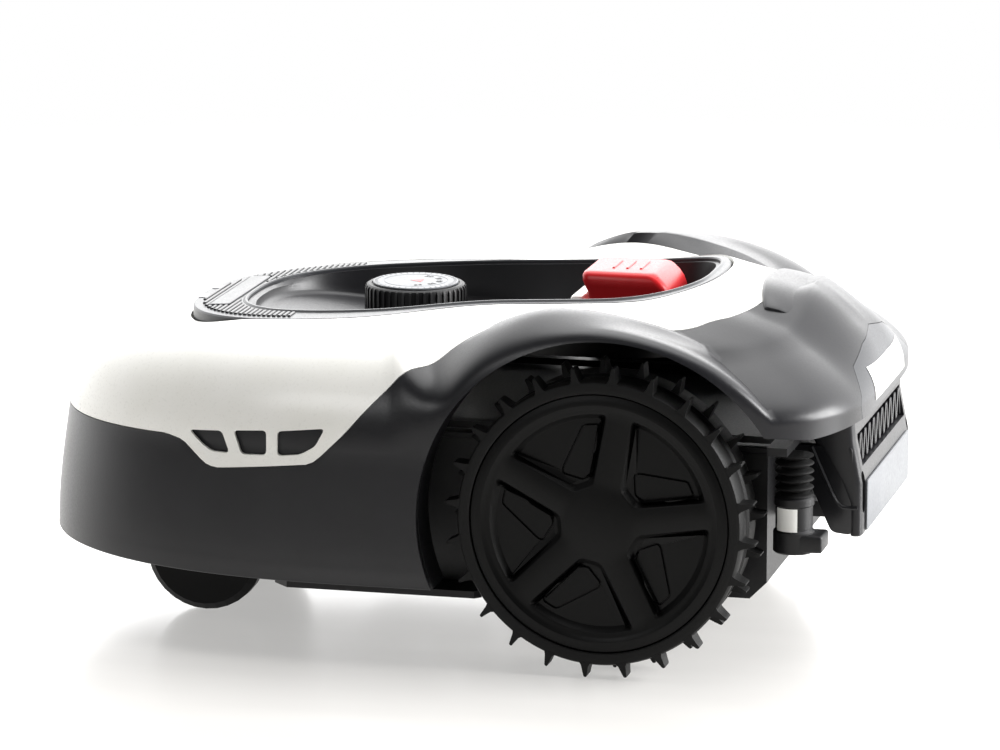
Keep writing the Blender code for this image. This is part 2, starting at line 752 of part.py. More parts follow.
def make_carriage():
    """Slide that carries the blade motor and is raised by the knob's spindle."""
    plate_low = BLADE_Z + 0.070
    plate_high = plate_low + 0.005
    plate = box("cutter_carriage", (CUTTER_X - 0.034, -0.034, plate_low),
                (CUTTER_X + 0.034, 0.034, plate_high), "grey_plastic")
    nut_top = KNOB_TOP_Z - KNOB_HEIGHT - CUT_TRAVEL - 0.006
    post = rod("nut_post", 0.010, plate_low + 0.001, nut_top, None, (KNOB_X, 0, 0), steps=16)
    cut(plate, post, "UNION")
    bore = rod("nut_bore", 0.0054, plate_high, nut_top + 0.01, None, (KNOB_X, 0, 0), steps=16)
    cut(plate, bore)
    motor_low = BLADE_Z + 0.011
    rod("blade_motor", MOTOR_RADIUS, motor_low, plate_low - GAP, "steel", (CUTTER_X, 0, 0), steps=20)


def make_blade_disc():
    """Blade disc with three screws and three free-swinging blades."""
    origin = (CUTTER_X, 0, 0)
    disc_low = BLADE_Z + 0.0025
    profile = [
        (0, disc_low + 0.008), (0.016, disc_low + 0.008), (0.022, disc_low + 0.003),
        (DISC_RADIUS, disc_low + 0.003), (DISC_RADIUS, disc_low), (0.018, disc_low), (0, disc_low),
    ]
    disc = turned("blade_disc", profile, "wheel_plastic", origin, steps=30)
    rod("disc_nut", 0.009, BLADE_Z - 0.004, disc_low - GAP, "steel", origin, steps=6)
    for number in range(BLADES):
        angle = 2 * pi * number / BLADES
        x = CUTTER_X + BLADE_PIVOT_RADIUS * cos(angle)
        y = BLADE_PIVOT_RADIUS * sin(angle)
        stem = rod("stem", 0.0025, BLADE_Z - 0.0015, disc_low + 0.001, None, (x, y, 0), steps=10)
        cut(disc, stem, "UNION")
        head = rod("head", 0.0045, BLADE_Z - 0.0035, BLADE_Z - 0.0010, None, (x, y, 0), steps=10)
        cut(disc, head, "UNION")
        make_blade(f"blade_{number + 1}", (x, y, 0), angle)


def make_blade(name, pivot, angle):
    """Flat steel blade with a hole for its screw."""
    half = 0.009
    tail = 0.007
    outline = [
        (-tail, -half + 0.003), (-tail + 0.003, -half), (BLADE_LENGTH - tail - 0.003, -half),
        (BLADE_LENGTH - tail, -half + 0.003), (BLADE_LENGTH - tail, half - 0.003),
        (BLADE_LENGTH - tail - 0.003, half), (-tail + 0.003, half), (-tail, half - 0.003),
    ]
    low = BLADE_Z - 0.0005
    blade = flat_plate(name, outline, low, low + 0.0012, "steel")
    cut(blade, rod("hole", 0.0029, -0.1, 0.2, None, (0, 0, 0), steps=10))
    blade.data.transform(Matrix.Rotation(angle, 4, "Z"))
    blade.location = pivot


# ---------------------------------------------------------------- chassis
def make_tub():
    """Open-topped chassis with a raised front over the casters and a dome for the blades."""
    tub = tub_solid("chassis_tub", 0.0, "dark_plastic")
    cut(tub, tub_solid("tub_room", TUB_WALL, None))
    origin = (CUTTER_X, 0, 0)
    cut(tub, rod("dome", DOME_RADIUS + TUB_WALL, TUB_FLOOR_Z, DOME_TOP_Z + TUB_WALL, None, origin), "UNION")
    cut(tub, rod("dome_room", DOME_RADIUS, TUB_FLOOR_Z - 0.01, DOME_TOP_Z, None, origin))
    cut(tub, rod("motor_hole", MOTOR_RADIUS + RUNNING_CLEARANCE, TUB_FLOOR_Z, TUB_TOP_Z, None, origin))
    axle = (AXLE_X, 0, AXLE_Z)
    cut(tub, rod("shaft_holes", SHAFT_RADIUS + RUNNING_CLEARANCE, -WIDTH, WIDTH, None, axle, "Y", 16))
    for hand in (1, -1):
        centre = (CASTER_X, hand * CASTER_Y, 0)
        cut(tub, rod("stem_hole", STEM_RADIUS + 0.0005, 0.08, TUB_TOP_Z - 0.01, None, centre, steps=16))


def tub_solid(name, inset, material):
    """The tub's outer block, or the room inside it when inset by the wall."""
    top = TUB_TOP_Z + (0.01 if inset else 0.0)
    floor = TUB_FLOOR_Z + inset
    rear = TUB_REAR_X + inset
    step = TUB_STEP_X - inset
    side = [
        (rear, top), (rear, floor + 0.012), (rear + 0.012, floor),
        (step - 0.010, floor), (step, floor + 0.020), (step, top),
    ]
    half_width = TUB_HALF_WIDTH - inset
    solid = flat_plate(name, side, -half_width, half_width, material, "Y")
    front_low = TUB_FRONT_FLOOR_Z + inset
    front = [
        (TUB_FRONT_X - inset, TUB_FRONT_HALF_WIDTH - inset), (TUB_STEP_X - 0.006, half_width),
        (TUB_STEP_X - 0.006, -half_width), (TUB_FRONT_X - inset, inset - TUB_FRONT_HALF_WIDTH),
    ]
    return cut(solid, flat_plate(name + "_front", front, front_low, top, None), "UNION")


def lid_outline():
    """Plan of the chassis lid, as wide as the tub under it."""
    half = [
        (TUB_FRONT_X, TUB_FRONT_HALF_WIDTH), (TUB_STEP_X, TUB_HALF_WIDTH), (TUB_REAR_X, TUB_HALF_WIDTH),
    ]
    return half + [(x, -y) for x, y in reversed(half)]


def make_chassis():
    make_tub()
    lid_low = TUB_TOP_Z + GAP
    lid_high = lid_low + LID_THICKNESS
    lid = flat_plate("chassis_lid", lid_outline(), lid_low, lid_high, "grey_plastic")
    tower_top = KNOB_TOP_Z - KNOB_HEIGHT - 0.0015
    knob = (KNOB_X, 0, 0)
    cut(lid, rod("tower", 0.020, lid_low, tower_top, None, knob), "UNION")
    cut(lid, rod("tower_bore", 0.0115, lid_low - 0.01, tower_top + 0.01, None, knob))
    make_skid_plate()
    battery_low = TUB_FLOOR_Z + TUB_WALL + 0.002
    box("battery_pack", (TUB_REAR_X + 0.015, -0.060, battery_low), (AXLE_X - 0.038, 0.060, battery_low + 0.060),
        "battery_wrap", bevel=0.004)
    board = box("main_board", (TUB_STEP_X + 0.020, -0.045, TUB_FRONT_FLOOR_Z + 0.012),
                (TUB_FRONT_X - 0.020, 0.045, TUB_FRONT_FLOOR_Z + 0.0136), "circuit_board")
    chip = box("chip", (TUB_STEP_X + 0.040, -0.015, TUB_FRONT_FLOOR_Z + 0.013),
               (TUB_STEP_X + 0.065, 0.015, TUB_FRONT_FLOOR_Z + 0.018), None)
    cut(board, chip, "UNION")
    motor_inner = 0.030
    motor_outer = TUB_HALF_WIDTH - TUB_WALL - 0.0015
    gearbox = box("drive_motor_left", (AXLE_X - 0.028, motor_outer - 0.030, AXLE_Z - 0.028),
                  (AXLE_X + 0.028, motor_outer, AXLE_Z + 0.028), "steel")
    can = rod("can", 0.020, motor_inner, motor_outer - 0.028, None, (AXLE_X, 0, AXLE_Z), "Y", 16)
    cut(gearbox, can, "UNION")
    mirrored_copy(gearbox, "drive_motor_right")
    make_rear_posts()
    make_tail()


def make_skid_plate():
    """Flat guard under the cutting deck, with a round mouth for the blades."""
    narrow = min(TUB_HALF_WIDTH, WHEEL_INNER_Y - 0.012)
    wide = TUB_HALF_WIDTH + 0.026
    wide_rear = AXLE_X + 0.095
    wide_front = AXLE_X + 0.248
    half = [
        (TUB_STEP_X - 0.012, 0.080), (wide_front, wide - 0.012), (wide_front - 0.012, wide),
        (wide_rear + 0.004, wide), (wide_rear, wide - 0.004), (wide_rear - 0.006, narrow),
        (AXLE_X + 0.055, narrow), (AXLE_X + 0.045, narrow - 0.010),
    ]
    outline = half + [(x, -y) for x, y in reversed(half)]
    top = TUB_FLOOR_Z - GAP
    plate = flat_plate("skid_plate", outline, top - 0.005, top, "dark_plastic")
    cut(plate, rod("mouth", DOME_RADIUS, 0.0, 0.1, None, (CUTTER_X, 0, 0), steps=36))


def make_rear_posts():
    """Suspension posts with rubber bellows that the shell's frame rests on."""
    y = TUB_HALF_WIDTH + GAP + POST_RADIUS + 0.001
    post_low, post_high = 0.086, 0.126
    post = rod("rear_post_left", POST_RADIUS, post_low, post_high, "dark_plastic", (POST_X, y, 0), steps=20)
    foot = box("foot", (POST_X - 0.022, y - 0.013, post_low + 0.002), (POST_X + 0.008, y + 0.013, post_low + 0.014),
               None)
    cut(post, foot, "UNION")
    mirrored_copy(post, "rear_post_right")
    fold = 0.0052
    profile = [(0, post_high + GAP)]
    boot_top = frame_low() - 2 * GAP
    folds = 5
    step = (boot_top - post_high - GAP) / (2 * folds)
    for i in range(2 * folds + 1):
        radius = POST_RADIUS - 0.001 - (fold if i % 2 else 0.0)
        profile.append((radius, post_high + GAP + step * i))
    profile.append((0, boot_top))
    boot = turned("boot_left", list(reversed(profile)), "rubber", (POST_X, y, 0), steps=16)
    mirrored_copy(boot, "boot_right")


def frame_low():
    """Underside of the floating frame, just over the chassis lid."""
    return TUB_TOP_Z + GAP + LID_THICKNESS + 0.0015


def make_bump_frame():
    """Frame that floats on the rubber boots and carries the shell."""
    low = frame_low()
    high = low + 0.006
    rail_y = TUB_HALF_WIDTH - 0.012
    cross_y = TUB_HALF_WIDTH + POST_RADIUS * 2
    cross_x = POST_X + 0.010
    frame = box("bump_frame", (cross_x - 0.007, -cross_y, low), (cross_x + 0.007, cross_y, high),
                "grey_plastic")
    front_x = TUB_FRONT_X - 0.010
    bar = box("front_bar", (front_x - 0.012, -0.074, low), (front_x, 0.074, high), None)
    for hand in (1, -1):
        rail = [
            (cross_x, hand * rail_y - 0.005), (TUB_STEP_X - 0.02, hand * rail_y - 0.005),
            (front_x - 0.006, hand * 0.069 - 0.005), (front_x - 0.006, hand * 0.069 + 0.005),
            (TUB_STEP_X - 0.02, hand * rail_y + 0.005), (cross_x, hand * rail_y + 0.005),
        ]
        cut(frame, flat_plate("rail", rail, low + 0.0005, high - 0.0005, None), "UNION")
    cut(frame, bar, "UNION")


def make_tail():
    """Rear housing of the chassis with a flat for the rating label."""
    top = REAR_EDGE_Z - 0.002
    face = REAR_X + LABEL_THICKNESS + GAP
    side = [
        (AXLE_X - 0.137, top), (face + 0.007, top), (face + 0.006, top - 0.014), (face, top - 0.044),
        (face, TAIL_BOTTOM_Z), (face + 0.008, TAIL_BOTTOM_Z), (face + 0.012, 0.115), (AXLE_X - 0.131, 0.156),
    ]
    tail = flat_plate("tail_housing", side, -TAIL_HALF_WIDTH, TAIL_HALF_WIDTH, "dark_plastic", "Y")
    bar = box("tail_bar", (face + 0.006, -0.080, 0.097), (TUB_REAR_X - GAP, 0.080, 0.108), None)
    cut(tail, bar, "UNION")
    wing = [
        (face + 0.001, 0.152), (face + 0.001, TAIL_BOTTOM_Z + 0.0003), (AXLE_X - 0.1455, TAIL_BOTTOM_Z + 0.0003),
        (AXLE_X - 0.1175, 0.152),
    ]
    for hand in (1, -1):
        reach = sorted((hand * (TAIL_HALF_WIDTH - 0.008), hand * (TAIL_HALF_WIDTH - 0.0003)))
        cut(tail, flat_plate("wing", wing, *reach, None, "Y"), "UNION")
    box("label_plate", (REAR_X, -LABEL_HALF_WIDTH, TAIL_BOTTOM_Z + 0.002),
        (REAR_X + LABEL_THICKNESS, LABEL_HALF_WIDTH, TAIL_BOTTOM_Z + 0.038), "label_stock")


# ---------------------------------------------------------------- wheels
def make_drive_wheels():
    """Spiked tyre, rim, hub cap, shaft and nut for each side."""
    left = build_left_wheel()
    for piece in left:
        mirrored_copy(piece, piece.name.replace("left", "right"))


def build_left_wheel():
    origin = (AXLE_X, WHEEL_INNER_Y, AXLE_Z)
    base = WHEEL_RADIUS - SPIKE_HEIGHT
    rings = []
    bore = RIM_RADIUS + GAP
    for y, low, tip in (
        (0.0, base - 0.004, base - 0.004), (0.004, base, WHEEL_RADIUS),
        (WHEEL_WIDTH - 0.004, base, WHEEL_RADIUS), (WHEEL_WIDTH, base - 0.004, base - 0.004),
        (WHEEL_WIDTH, bore, bore), (0.0, bore, bore),
    ):
        points = []
        for i in range(2 * SPIKES):
            angle = pi * i / SPIKES - pi / 2
            radius = low if i % 2 else tip
            points.append(Vector((radius * cos(angle), y, radius * sin(angle))))
        rings.append(points)
    tyre = loft("tyre_left", rings, "rubber", origin, loop=True)
    web = WHEEL_WIDTH - 0.014
    profile = [
        (SHAFT_RADIUS + GAP, web), (RIM_RADIUS, web), (RIM_RADIUS, 0.002), (RIM_RADIUS - 0.004, 0.002),
        (RIM_RADIUS - 0.004, web - 0.004), (0.018, web - 0.004), (0.018, web - 0.020),
        (SHAFT_RADIUS + GAP, web - 0.020),
    ]
    rim = turned("rim_left", profile, "wheel_plastic", origin, "Y", 36)
    cap_low = web + 0.008
    profile = [
        (0, WHEEL_WIDTH - 0.001), (0.020, WHEEL_WIDTH - 0.001), (0.026, WHEEL_WIDTH - 0.003),
        (HUB_RADIUS - 0.010, WHEEL_WIDTH - 0.003), (HUB_RADIUS - 0.006, WHEEL_WIDTH),
        (HUB_RADIUS, WHEEL_WIDTH - 0.001), (RIM_RADIUS - 0.0005, cap_low), (HUB_RADIUS, web + GAP),
        (HUB_RADIUS - 0.004, web + GAP), (HUB_RADIUS - 0.004, cap_low), (0, cap_low),
    ]
    cap = turned("hub_cap_left", profile, "wheel_plastic", origin, "Y", 36)
    shaft_end = TUB_HALF_WIDTH - TUB_WALL - 0.001 - WHEEL_INNER_Y
    shaft = rod("wheel_shaft_left", SHAFT_RADIUS, shaft_end, web - GAP, "steel", origin, "Y", 16)
    nut = rod("wheel_nut_left", 0.011, web + GAP, web + 0.0070, "steel", origin, "Y", 6)
    return [tyre, rim, cap, shaft, nut]


def make_casters():
    """Swivelling fork, wheel and axle pin for each side at the front."""
    fork_inner = CASTER_WIDTH / 2 + FORK_CLEARANCE
    wheel_x = -CASTER_TRAIL
    crown_low = 2 * CASTER_RADIUS + 0.003
    crown_high = TUB_FRONT_FLOOR_Z - 0.002
    origin = (CASTER_X, CASTER_Y, 0)
    fork = box("caster_fork_left", (CASTER_X + wheel_x - 0.013, CASTER_Y - fork_inner - FORK_CHEEK, crown_low),
               (CASTER_X + 0.011, CASTER_Y + fork_inner + FORK_CHEEK, crown_high), "dark_plastic", origin)
    for hand in (1, -1):
        inner = CASTER_Y + hand * fork_inner
        low, high = sorted((inner, inner + hand * FORK_CHEEK))
        cheek = [
            (CASTER_X + wheel_x - 0.008, CASTER_RADIUS - 0.007), (CASTER_X + wheel_x + 0.007, CASTER_RADIUS - 0.007),
            (CASTER_X + 0.008, crown_high - 0.001), (CASTER_X + wheel_x - 0.012, crown_high - 0.001),
        ]
        cut(fork, flat_plate("cheek", cheek, low, high, None, "Y"), "UNION")
    stem = rod("stem", STEM_RADIUS, crown_high - 0.002, TUB_TOP_Z - 0.012, None, origin, steps=16)
    cut(fork, stem, "UNION")
    axle_at = (CASTER_X + wheel_x, CASTER_Y, CASTER_RADIUS)
    pin_radius = 0.0035
    fork_outer = fork_inner + FORK_CHEEK
    cut(fork, rod("pin_hole", pin_radius + GAP, -0.05, 0.05, None, axle_at, "Y", 12))
    half = CASTER_WIDTH / 2
    profile = [
        (pin_radius + 0.0005, half), (CASTER_RADIUS - 0.005, half), (CASTER_RADIUS, half - 0.005),
        (CASTER_RADIUS, -half + 0.005), (CASTER_RADIUS - 0.005, -half), (pin_radius + 0.0005, -half),
    ]
    wheel = turned("caster_wheel_left", profile, "wheel_plastic", axle_at, "Y", 32)
    pin = rod("caster_pin_left", pin_radius, -fork_outer, fork_outer, "steel", axle_at, "Y", 12)
    for piece in (fork, wheel, pin):
        mirrored_copy(piece, piece.name.replace("left", "right"))


def make_mower():
    clear_scene()
    make_materials()
    make_chassis()
    make_bump_frame()
    make_shell()
    make_deck()
    make_deck_fittings()
    make_stop_button()
    make_knob()
    make_carriage()
    make_blade_disc()
    make_drive_wheels()
    make_casters()


make_mower()
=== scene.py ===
"""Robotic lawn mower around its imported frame: moulded shell, wheels, deck, tail and studio."""

import json
from math import copysign, cos, hypot, pi, radians, sin, sqrt

import bmesh
import bpy
from mathutils import Matrix, Vector
from mathutils.bvhtree import BVHTree
from mathutils.geometry import delaunay_2d_cdt


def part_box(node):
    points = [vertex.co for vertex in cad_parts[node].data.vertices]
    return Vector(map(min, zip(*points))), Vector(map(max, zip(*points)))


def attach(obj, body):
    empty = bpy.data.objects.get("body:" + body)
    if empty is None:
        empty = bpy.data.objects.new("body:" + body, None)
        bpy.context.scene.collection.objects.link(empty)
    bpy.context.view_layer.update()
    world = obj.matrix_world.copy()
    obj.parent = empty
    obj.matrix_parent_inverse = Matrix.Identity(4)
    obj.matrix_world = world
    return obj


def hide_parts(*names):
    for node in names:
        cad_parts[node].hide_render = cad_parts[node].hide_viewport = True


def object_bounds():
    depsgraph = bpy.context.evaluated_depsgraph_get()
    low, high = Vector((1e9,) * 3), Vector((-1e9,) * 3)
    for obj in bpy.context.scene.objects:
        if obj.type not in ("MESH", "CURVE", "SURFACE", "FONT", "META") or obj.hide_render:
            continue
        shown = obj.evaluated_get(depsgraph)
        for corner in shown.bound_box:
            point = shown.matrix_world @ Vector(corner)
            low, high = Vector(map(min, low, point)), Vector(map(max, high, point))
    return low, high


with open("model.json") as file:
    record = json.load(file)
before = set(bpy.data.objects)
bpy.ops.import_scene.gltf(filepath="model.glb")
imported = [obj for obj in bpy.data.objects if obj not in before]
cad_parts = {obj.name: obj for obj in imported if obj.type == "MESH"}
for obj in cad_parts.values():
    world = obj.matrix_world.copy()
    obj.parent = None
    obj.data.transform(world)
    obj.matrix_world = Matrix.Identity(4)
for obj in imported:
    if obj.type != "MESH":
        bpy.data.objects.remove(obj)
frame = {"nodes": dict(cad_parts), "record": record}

CAD_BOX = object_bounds()

# ---------------------------------------------------------------- sizes, in metres
TYRE_LOW, TYRE_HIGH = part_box("tyre_left")
AXLE_X = (TYRE_LOW.x + TYRE_HIGH.x) / 2
AXLE_Z = (TYRE_LOW.z + TYRE_HIGH.z) / 2
WHEEL_RADIUS = (TYRE_HIGH.z - TYRE_LOW.z) / 2
WHEEL_INNER_Y = TYRE_LOW.y
WHEEL_WIDTH = TYRE_HIGH.y - TYRE_LOW.y
NOSE_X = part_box("lower_shell")[1].x
REAR_X = CAD_BOX[0].x
HALF_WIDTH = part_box("lower_shell")[1].y

GAP = 0.0003                  # between touching pieces
SKIN = 0.0028                 # wall of the outer mouldings
SHELL_WALL = 0.0016           # the lower shell's wall, thin enough for its tight corners
SKIRT_Z = 0.058               # lower edge of the skirt
CREASE_Z = 0.080              # where the skirt starts to lean outward
ARCH_RADIUS = WHEEL_RADIUS + 0.018
LIP_RADIUS = ARCH_RADIUS + 0.013     # outer edge of the arch lip
FENDER_TOP = AXLE_Z + LIP_RADIUS - 0.002
BELT_Z = FENDER_TOP - 0.099   # widest line of the body
REAR_EDGE_Z = FENDER_TOP - 0.077
PLAN_CENTRE_X = AXLE_X + 0.175
NOSE_POWER, TAIL_POWER = 2.35, 4.5   # how square the plan is, ahead of and behind its centre
DECK_FRONT_X = NOSE_X - 0.099
DECK_REAR_X = AXLE_X - 0.051
DECK_HALF_WIDTH = 0.116
DECK_WAIST = 0.087
DECK_SEAM = 0.0018
NOSE_STEP = 0.0085            # how far the deck's nose stands above the hood
COLUMNS = 180                 # sections around half of the body
SEAM = 0.00035                # half of the joint between hood and shell
CREST = 0.0065                # rise of the fender beside the hood
SQUARE_POWER = 11.0           # section over the wheels
ROUND_POWER = 2.4             # section on the hood
LABEL_FILM = 0.0003           # thickness of the stuck-on labels
RECESS_FLOOR_Z = FENDER_TOP - 0.045
KNOB_RADIUS = 0.037
SPIKES = 24
SPIKE_HEIGHT = 0.0095
RIM_RADIUS = 0.0915
NAME_PLATE = (AXLE_X + 0.3050, AXLE_X + 0.3200, 0.055)    # rear edge, front edge, half length across
TAIL_HALF_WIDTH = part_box("tail_housing")[1].y
VENT_RIBS = 20                # slanted ribs across the tail's vent
KNOB_TEETH = 44
DIAL_TICKS = 40
LABEL_LOW, LABEL_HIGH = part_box("label_plate")


# ---------------------------------------------------------------- materials
def linear(colour):
    """An sRGB hex colour as linear RGBA."""
    values = [int(colour[i:i + 2], 16) / 255 for i in (1, 3, 5)]
    return tuple(v / 12.92 if v <= 0.04045 else ((v + 0.055) / 1.055) ** 2.4 for v in values) + (1.0,)


def put(tree, kind, settings=None, links=None):
    """Add a node, set its inputs or properties, and link its inputs."""
    made = tree.nodes.new(kind)
    for key, value in (settings or {}).items():
        if isinstance(key, int) or key in made.inputs:
            made.inputs[key].default_value = value
        else:
            setattr(made, key, value)
    for key, socket in (links or {}).items():
        tree.links.new(socket, made.inputs[key])
    return made


def start_material(name):
    """An empty node material with its shader and Object coordinates."""
    material = bpy.data.materials.new(name)
    material.use_nodes = True
    tree = material.node_tree
    shader = tree.nodes["Principled BSDF"]
    place = put(tree, "ShaderNodeTexCoord").outputs["Object"]
    return material, tree, shader, place


def speckle(tree, place, size_mm, detail=2.0, roughness=0.5):
    """Noise whose features are about size_mm across."""
    noise = put(tree, "ShaderNodeTexNoise",
                {"Scale": 1000 / size_mm, "Detail": detail, "Roughness": roughness}, {"Vector": place})
    return noise.outputs["Fac"]


def two_tone(tree, factor, first, second, low=0.35, high=0.65):
    """Colour that goes from first to second as the factor goes from low to high."""
    share = put(tree, "ShaderNodeMapRange", {"From Min": low, "From Max": high}, {"Value": factor})
    mix = put(tree, "ShaderNodeMix", {"data_type": "RGBA", 6: linear(first), 7: linear(second)},
              {0: share.outputs["Result"]})
    return mix.outputs[2]


def moulded(name, colours, roughness, grain_mm, grain_depth, coat=0.0, sheen=0.5, sink_mm=60.0):
    """Injection-moulded plastic: flow mottle, etched grain and slow sink waves."""
    material, tree, shader, place = start_material(name)
    mottle = speckle(tree, place, sink_mm * 0.6, 3.0)
    tree.links.new(two_tone(tree, mottle, *colours), shader.inputs["Base Color"])
    grain = speckle(tree, place, grain_mm, 3.0, 0.6)
    gloss = put(tree, "ShaderNodeMapRange", {"From Min": 0.3, "From Max": 0.7, "To Min": roughness - 0.05,
                                             "To Max": roughness + 0.05}, {"Value": grain})
    tree.links.new(gloss.outputs["Result"], shader.inputs["Roughness"])
    waves = speckle(tree, place, sink_mm, 1.0)
    slow = put(tree, "ShaderNodeBump", {"Strength": 0.25, "Distance": 0.0006}, {"Height": waves})
    fine = put(tree, "ShaderNodeBump", {"Strength": grain_depth, "Distance": grain_mm * 0.0002},
               {"Height": grain, "Normal": slow.outputs["Normal"]})
    tree.links.new(fine.outputs["Normal"], shader.inputs["Normal"])
    shader.inputs["IOR"].default_value = 1.52
    shader.inputs["Specular IOR Level"].default_value = sheen
    shader.inputs["Coat Weight"].default_value = coat
    shader.inputs["Coat Roughness"].default_value = 0.12
    return material


def bare_metal(name, colours, roughness, streak):
    """Metal with tool marks drawn out along one direction."""
    material, tree, shader, place = start_material(name)
    stretched = put(tree, "ShaderNodeMapping", {"Scale": streak}, {"Vector": place}).outputs["Vector"]
    marks = speckle(tree, stretched, 1.4, 4.0, 0.7)
    tree.links.new(two_tone(tree, marks, *colours), shader.inputs["Base Color"])
    gloss = put(tree, "ShaderNodeMapRange", {"To Min": roughness - 0.06, "To Max": roughness + 0.10},
                {"Value": marks})
    tree.links.new(gloss.outputs["Result"], shader.inputs["Roughness"])
    bump = put(tree, "ShaderNodeBump", {"Strength": 0.12, "Distance": 0.0002}, {"Height": marks})
    tree.links.new(bump.outputs["Normal"], shader.inputs["Normal"])
    shader.inputs["Metallic"].default_value = 1.0
    return material


def wrapped_board(name, colours, trace_mm):
    """Circuit board under solder mask: copper tracks show as a lighter square pattern."""
    material, tree, shader, place = start_material(name)
    tracks = put(tree, "ShaderNodeTexVoronoi", {"Scale": 1000 / trace_mm, "distance": "MANHATTAN"},
                 {"Vector": place})
    tree.links.new(two_tone(tree, tracks.outputs["Distance"], *colours, 0.28, 0.34),
                   shader.inputs["Base Color"])
    bump = put(tree, "ShaderNodeBump", {"Strength": 0.3, "Distance": 0.0001},
               {"Height": tracks.outputs["Distance"]})
    tree.links.new(bump.outputs["Normal"], shader.inputs["Normal"])
    shader.inputs["Roughness"].default_value = 0.35
    return material


def make_finishes():
    """Every finish of the object, named for the real material and how it was made."""
    return {
        # Glossy-satin ABS from a polished tool: warm white with a soft, broad highlight.
        "pale": moulded("abs_hood_moulded_satin_white", ("#F8F7F2", "#F5F4EE"), 0.30, 1.8, 0.03, 0.15),
        # ABS from a spark-etched tool: charcoal.
        "shell": moulded("abs_shell_etched_charcoal", ("#1C1C1F", "#18181B"), 0.33, 1.5, 0.12, 0.0, 0.40),
        # Same plastic, a shade lighter, on the deck's frame.
        "deck": moulded("abs_deck_etched_grey", ("#36373A", "#313235"), 0.34, 1.4, 0.12, 0.0, 0.40),
        # Inner mouldings that nobody polishes: dark and even.
        "inner": moulded("pp_chassis_moulded_black", ("#131315", "#101012"), 0.46, 1.6, 0.15, 0.0, 0.35),
        "tray": moulded("abs_tray_moulded_dark", ("#1E1E21", "#1A1A1D"), 0.36, 1.5, 0.10),
        # Glass-filled nylon: near black, dry sheen.
        "nylon": moulded("nylon_hub_moulded_black", ("#0A0A0A", "#080808"), 0.40, 1.3, 0.15, 0.0, 0.15),
        # Thermoplastic rubber of the treads and bellows: matt and slightly dusty.
        "rubber": moulded("tpe_tread_moulded_black", ("#0B0B0B", "#0E0E0E"), 0.58, 1.5, 0.3, 0.0, 0.20),
        # Gloss red ABS of the push button.
        "red": moulded("abs_button_gloss_red", ("#CE2026", "#C41B20"), 0.32, 1.6, 0.04, 0.0, 0.32),
        # Turned and stamped steel.
        "steel": bare_metal("steel_turned_bright", ("#C4C4C6", "#A9AAAD"), 0.28, (1.0, 1.0, 6.0)),
        "motor": bare_metal("steel_can_zinc_plated", ("#B5B7BA", "#9B9DA1"), 0.36, (3.0, 1.0, 1.0)),
        "board": wrapped_board("fr4_board_green_mask", ("#1F7A3D", "#14582B"), 3.0),
        "wrap": moulded("pvc_sleeve_shrunk_blue", ("#1C3566", "#182D58"), 0.34, 2.4, 0.25, 0.3),
        # Blank polyester film: mid grey on the dial and rating plate, white on the small labels.
        "film": moulded("polyester_label_film_grey", ("#67696D", "#616367"), 0.40, 2.0, 0.05),
        "paper": moulded("polyester_label_film_white", ("#F2F2EE", "#EDEDE8"), 0.38, 2.0, 0.04),
        "ink": moulded("print_ink_dark", ("#3A3B3E", "#343538"), 0.45, 1.5, 0.05),
        "red_ink": moulded("print_ink_red", ("#B8232A", "#AC1F26"), 0.42, 1.5, 0.05),
    }


SLOT_FINISH = {
    "dark_plastic": "inner", "pale_plastic": "pale", "grey_plastic": "inner", "wheel_plastic": "nylon",
    "rubber": "rubber", "red_plastic": "red", "steel": "steel", "circuit_board": "board",
    "battery_wrap": "wrap", "label_stock": "film",
}


def finish_frame_nodes(finishes):
    """Give each carried-over node the finish of its material slot."""
    slots = {part["id"]: part.get("material") for part in frame["record"].get("subparts", [])
             if isinstance(part, dict) and "id" in part}
    for name, obj in frame["nodes"].items():
        old = obj.data.materials[0].name if obj.data.materials and obj.data.materials[0] else ""
        slot = slots.get(name) or next((key for key in SLOT_FINISH if key in old), "dark_plastic")
        finish = finishes[SLOT_FINISH.get(slot, "inner")]
        if name.startswith(("drive_motor", "blade_motor")):
            finish = finishes["motor"]
        obj.data.materials.clear()
        obj.data.materials.append(finish)


# ---------------------------------------------------------------- mesh helpers
def on_circle(radius, i, steps):
    """Point i of a circle drawn in the given number of steps."""
    return radius * cos(2 * pi * i / steps), radius * sin(2 * pi * i / steps)


def linked(name, data):
    """A new object in the scene."""
    obj = bpy.data.objects.new(name, data)
    bpy.context.scene.collection.objects.link(obj)
    return obj


def plain_mesh(bm):
    """The mesh of a bmesh, which is freed."""
    mesh = bpy.data.meshes.new("mesh")
    bm.to_mesh(mesh)
    bm.free()
    return mesh


def piece(name, mesh, finish, body, replaced=(), angle=32.0):
    """Put a finished mesh into the model, riding on its body."""
    obj = linked(name, mesh)
    mesh.name = name
    mesh.materials.clear()
    mesh.materials.append(finish)
    mesh.shade_smooth()
    mesh.set_sharp_from_angle(angle=radians(angle))
    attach(obj, body)
    if replaced:
        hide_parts(*replaced)
    return obj


def mesh_of(bm, merge=1e-6):
    """The mesh of a bmesh, cleaned of double points and facing outward."""
    bmesh.ops.remove_doubles(bm, verts=bm.verts, dist=merge)
    bmesh.ops.dissolve_degenerate(bm, edges=bm.edges, dist=merge)
    bmesh.ops.recalc_face_normals(bm, faces=bm.faces)
    return plain_mesh(bm)


def joined(*meshes):
    """Several meshes as one, each with its normals kept."""
    bm = bmesh.new()
    for mesh in meshes:
        bm.from_mesh(mesh)
    return plain_mesh(bm)


def finished_mesh(obj):
    """The mesh an object ends up with, as plain data."""
    bpy.context.view_layer.update()
    depsgraph = bpy.context.evaluated_depsgraph_get()
    return bpy.data.meshes.new_from_object(obj.evaluated_get(depsgraph))


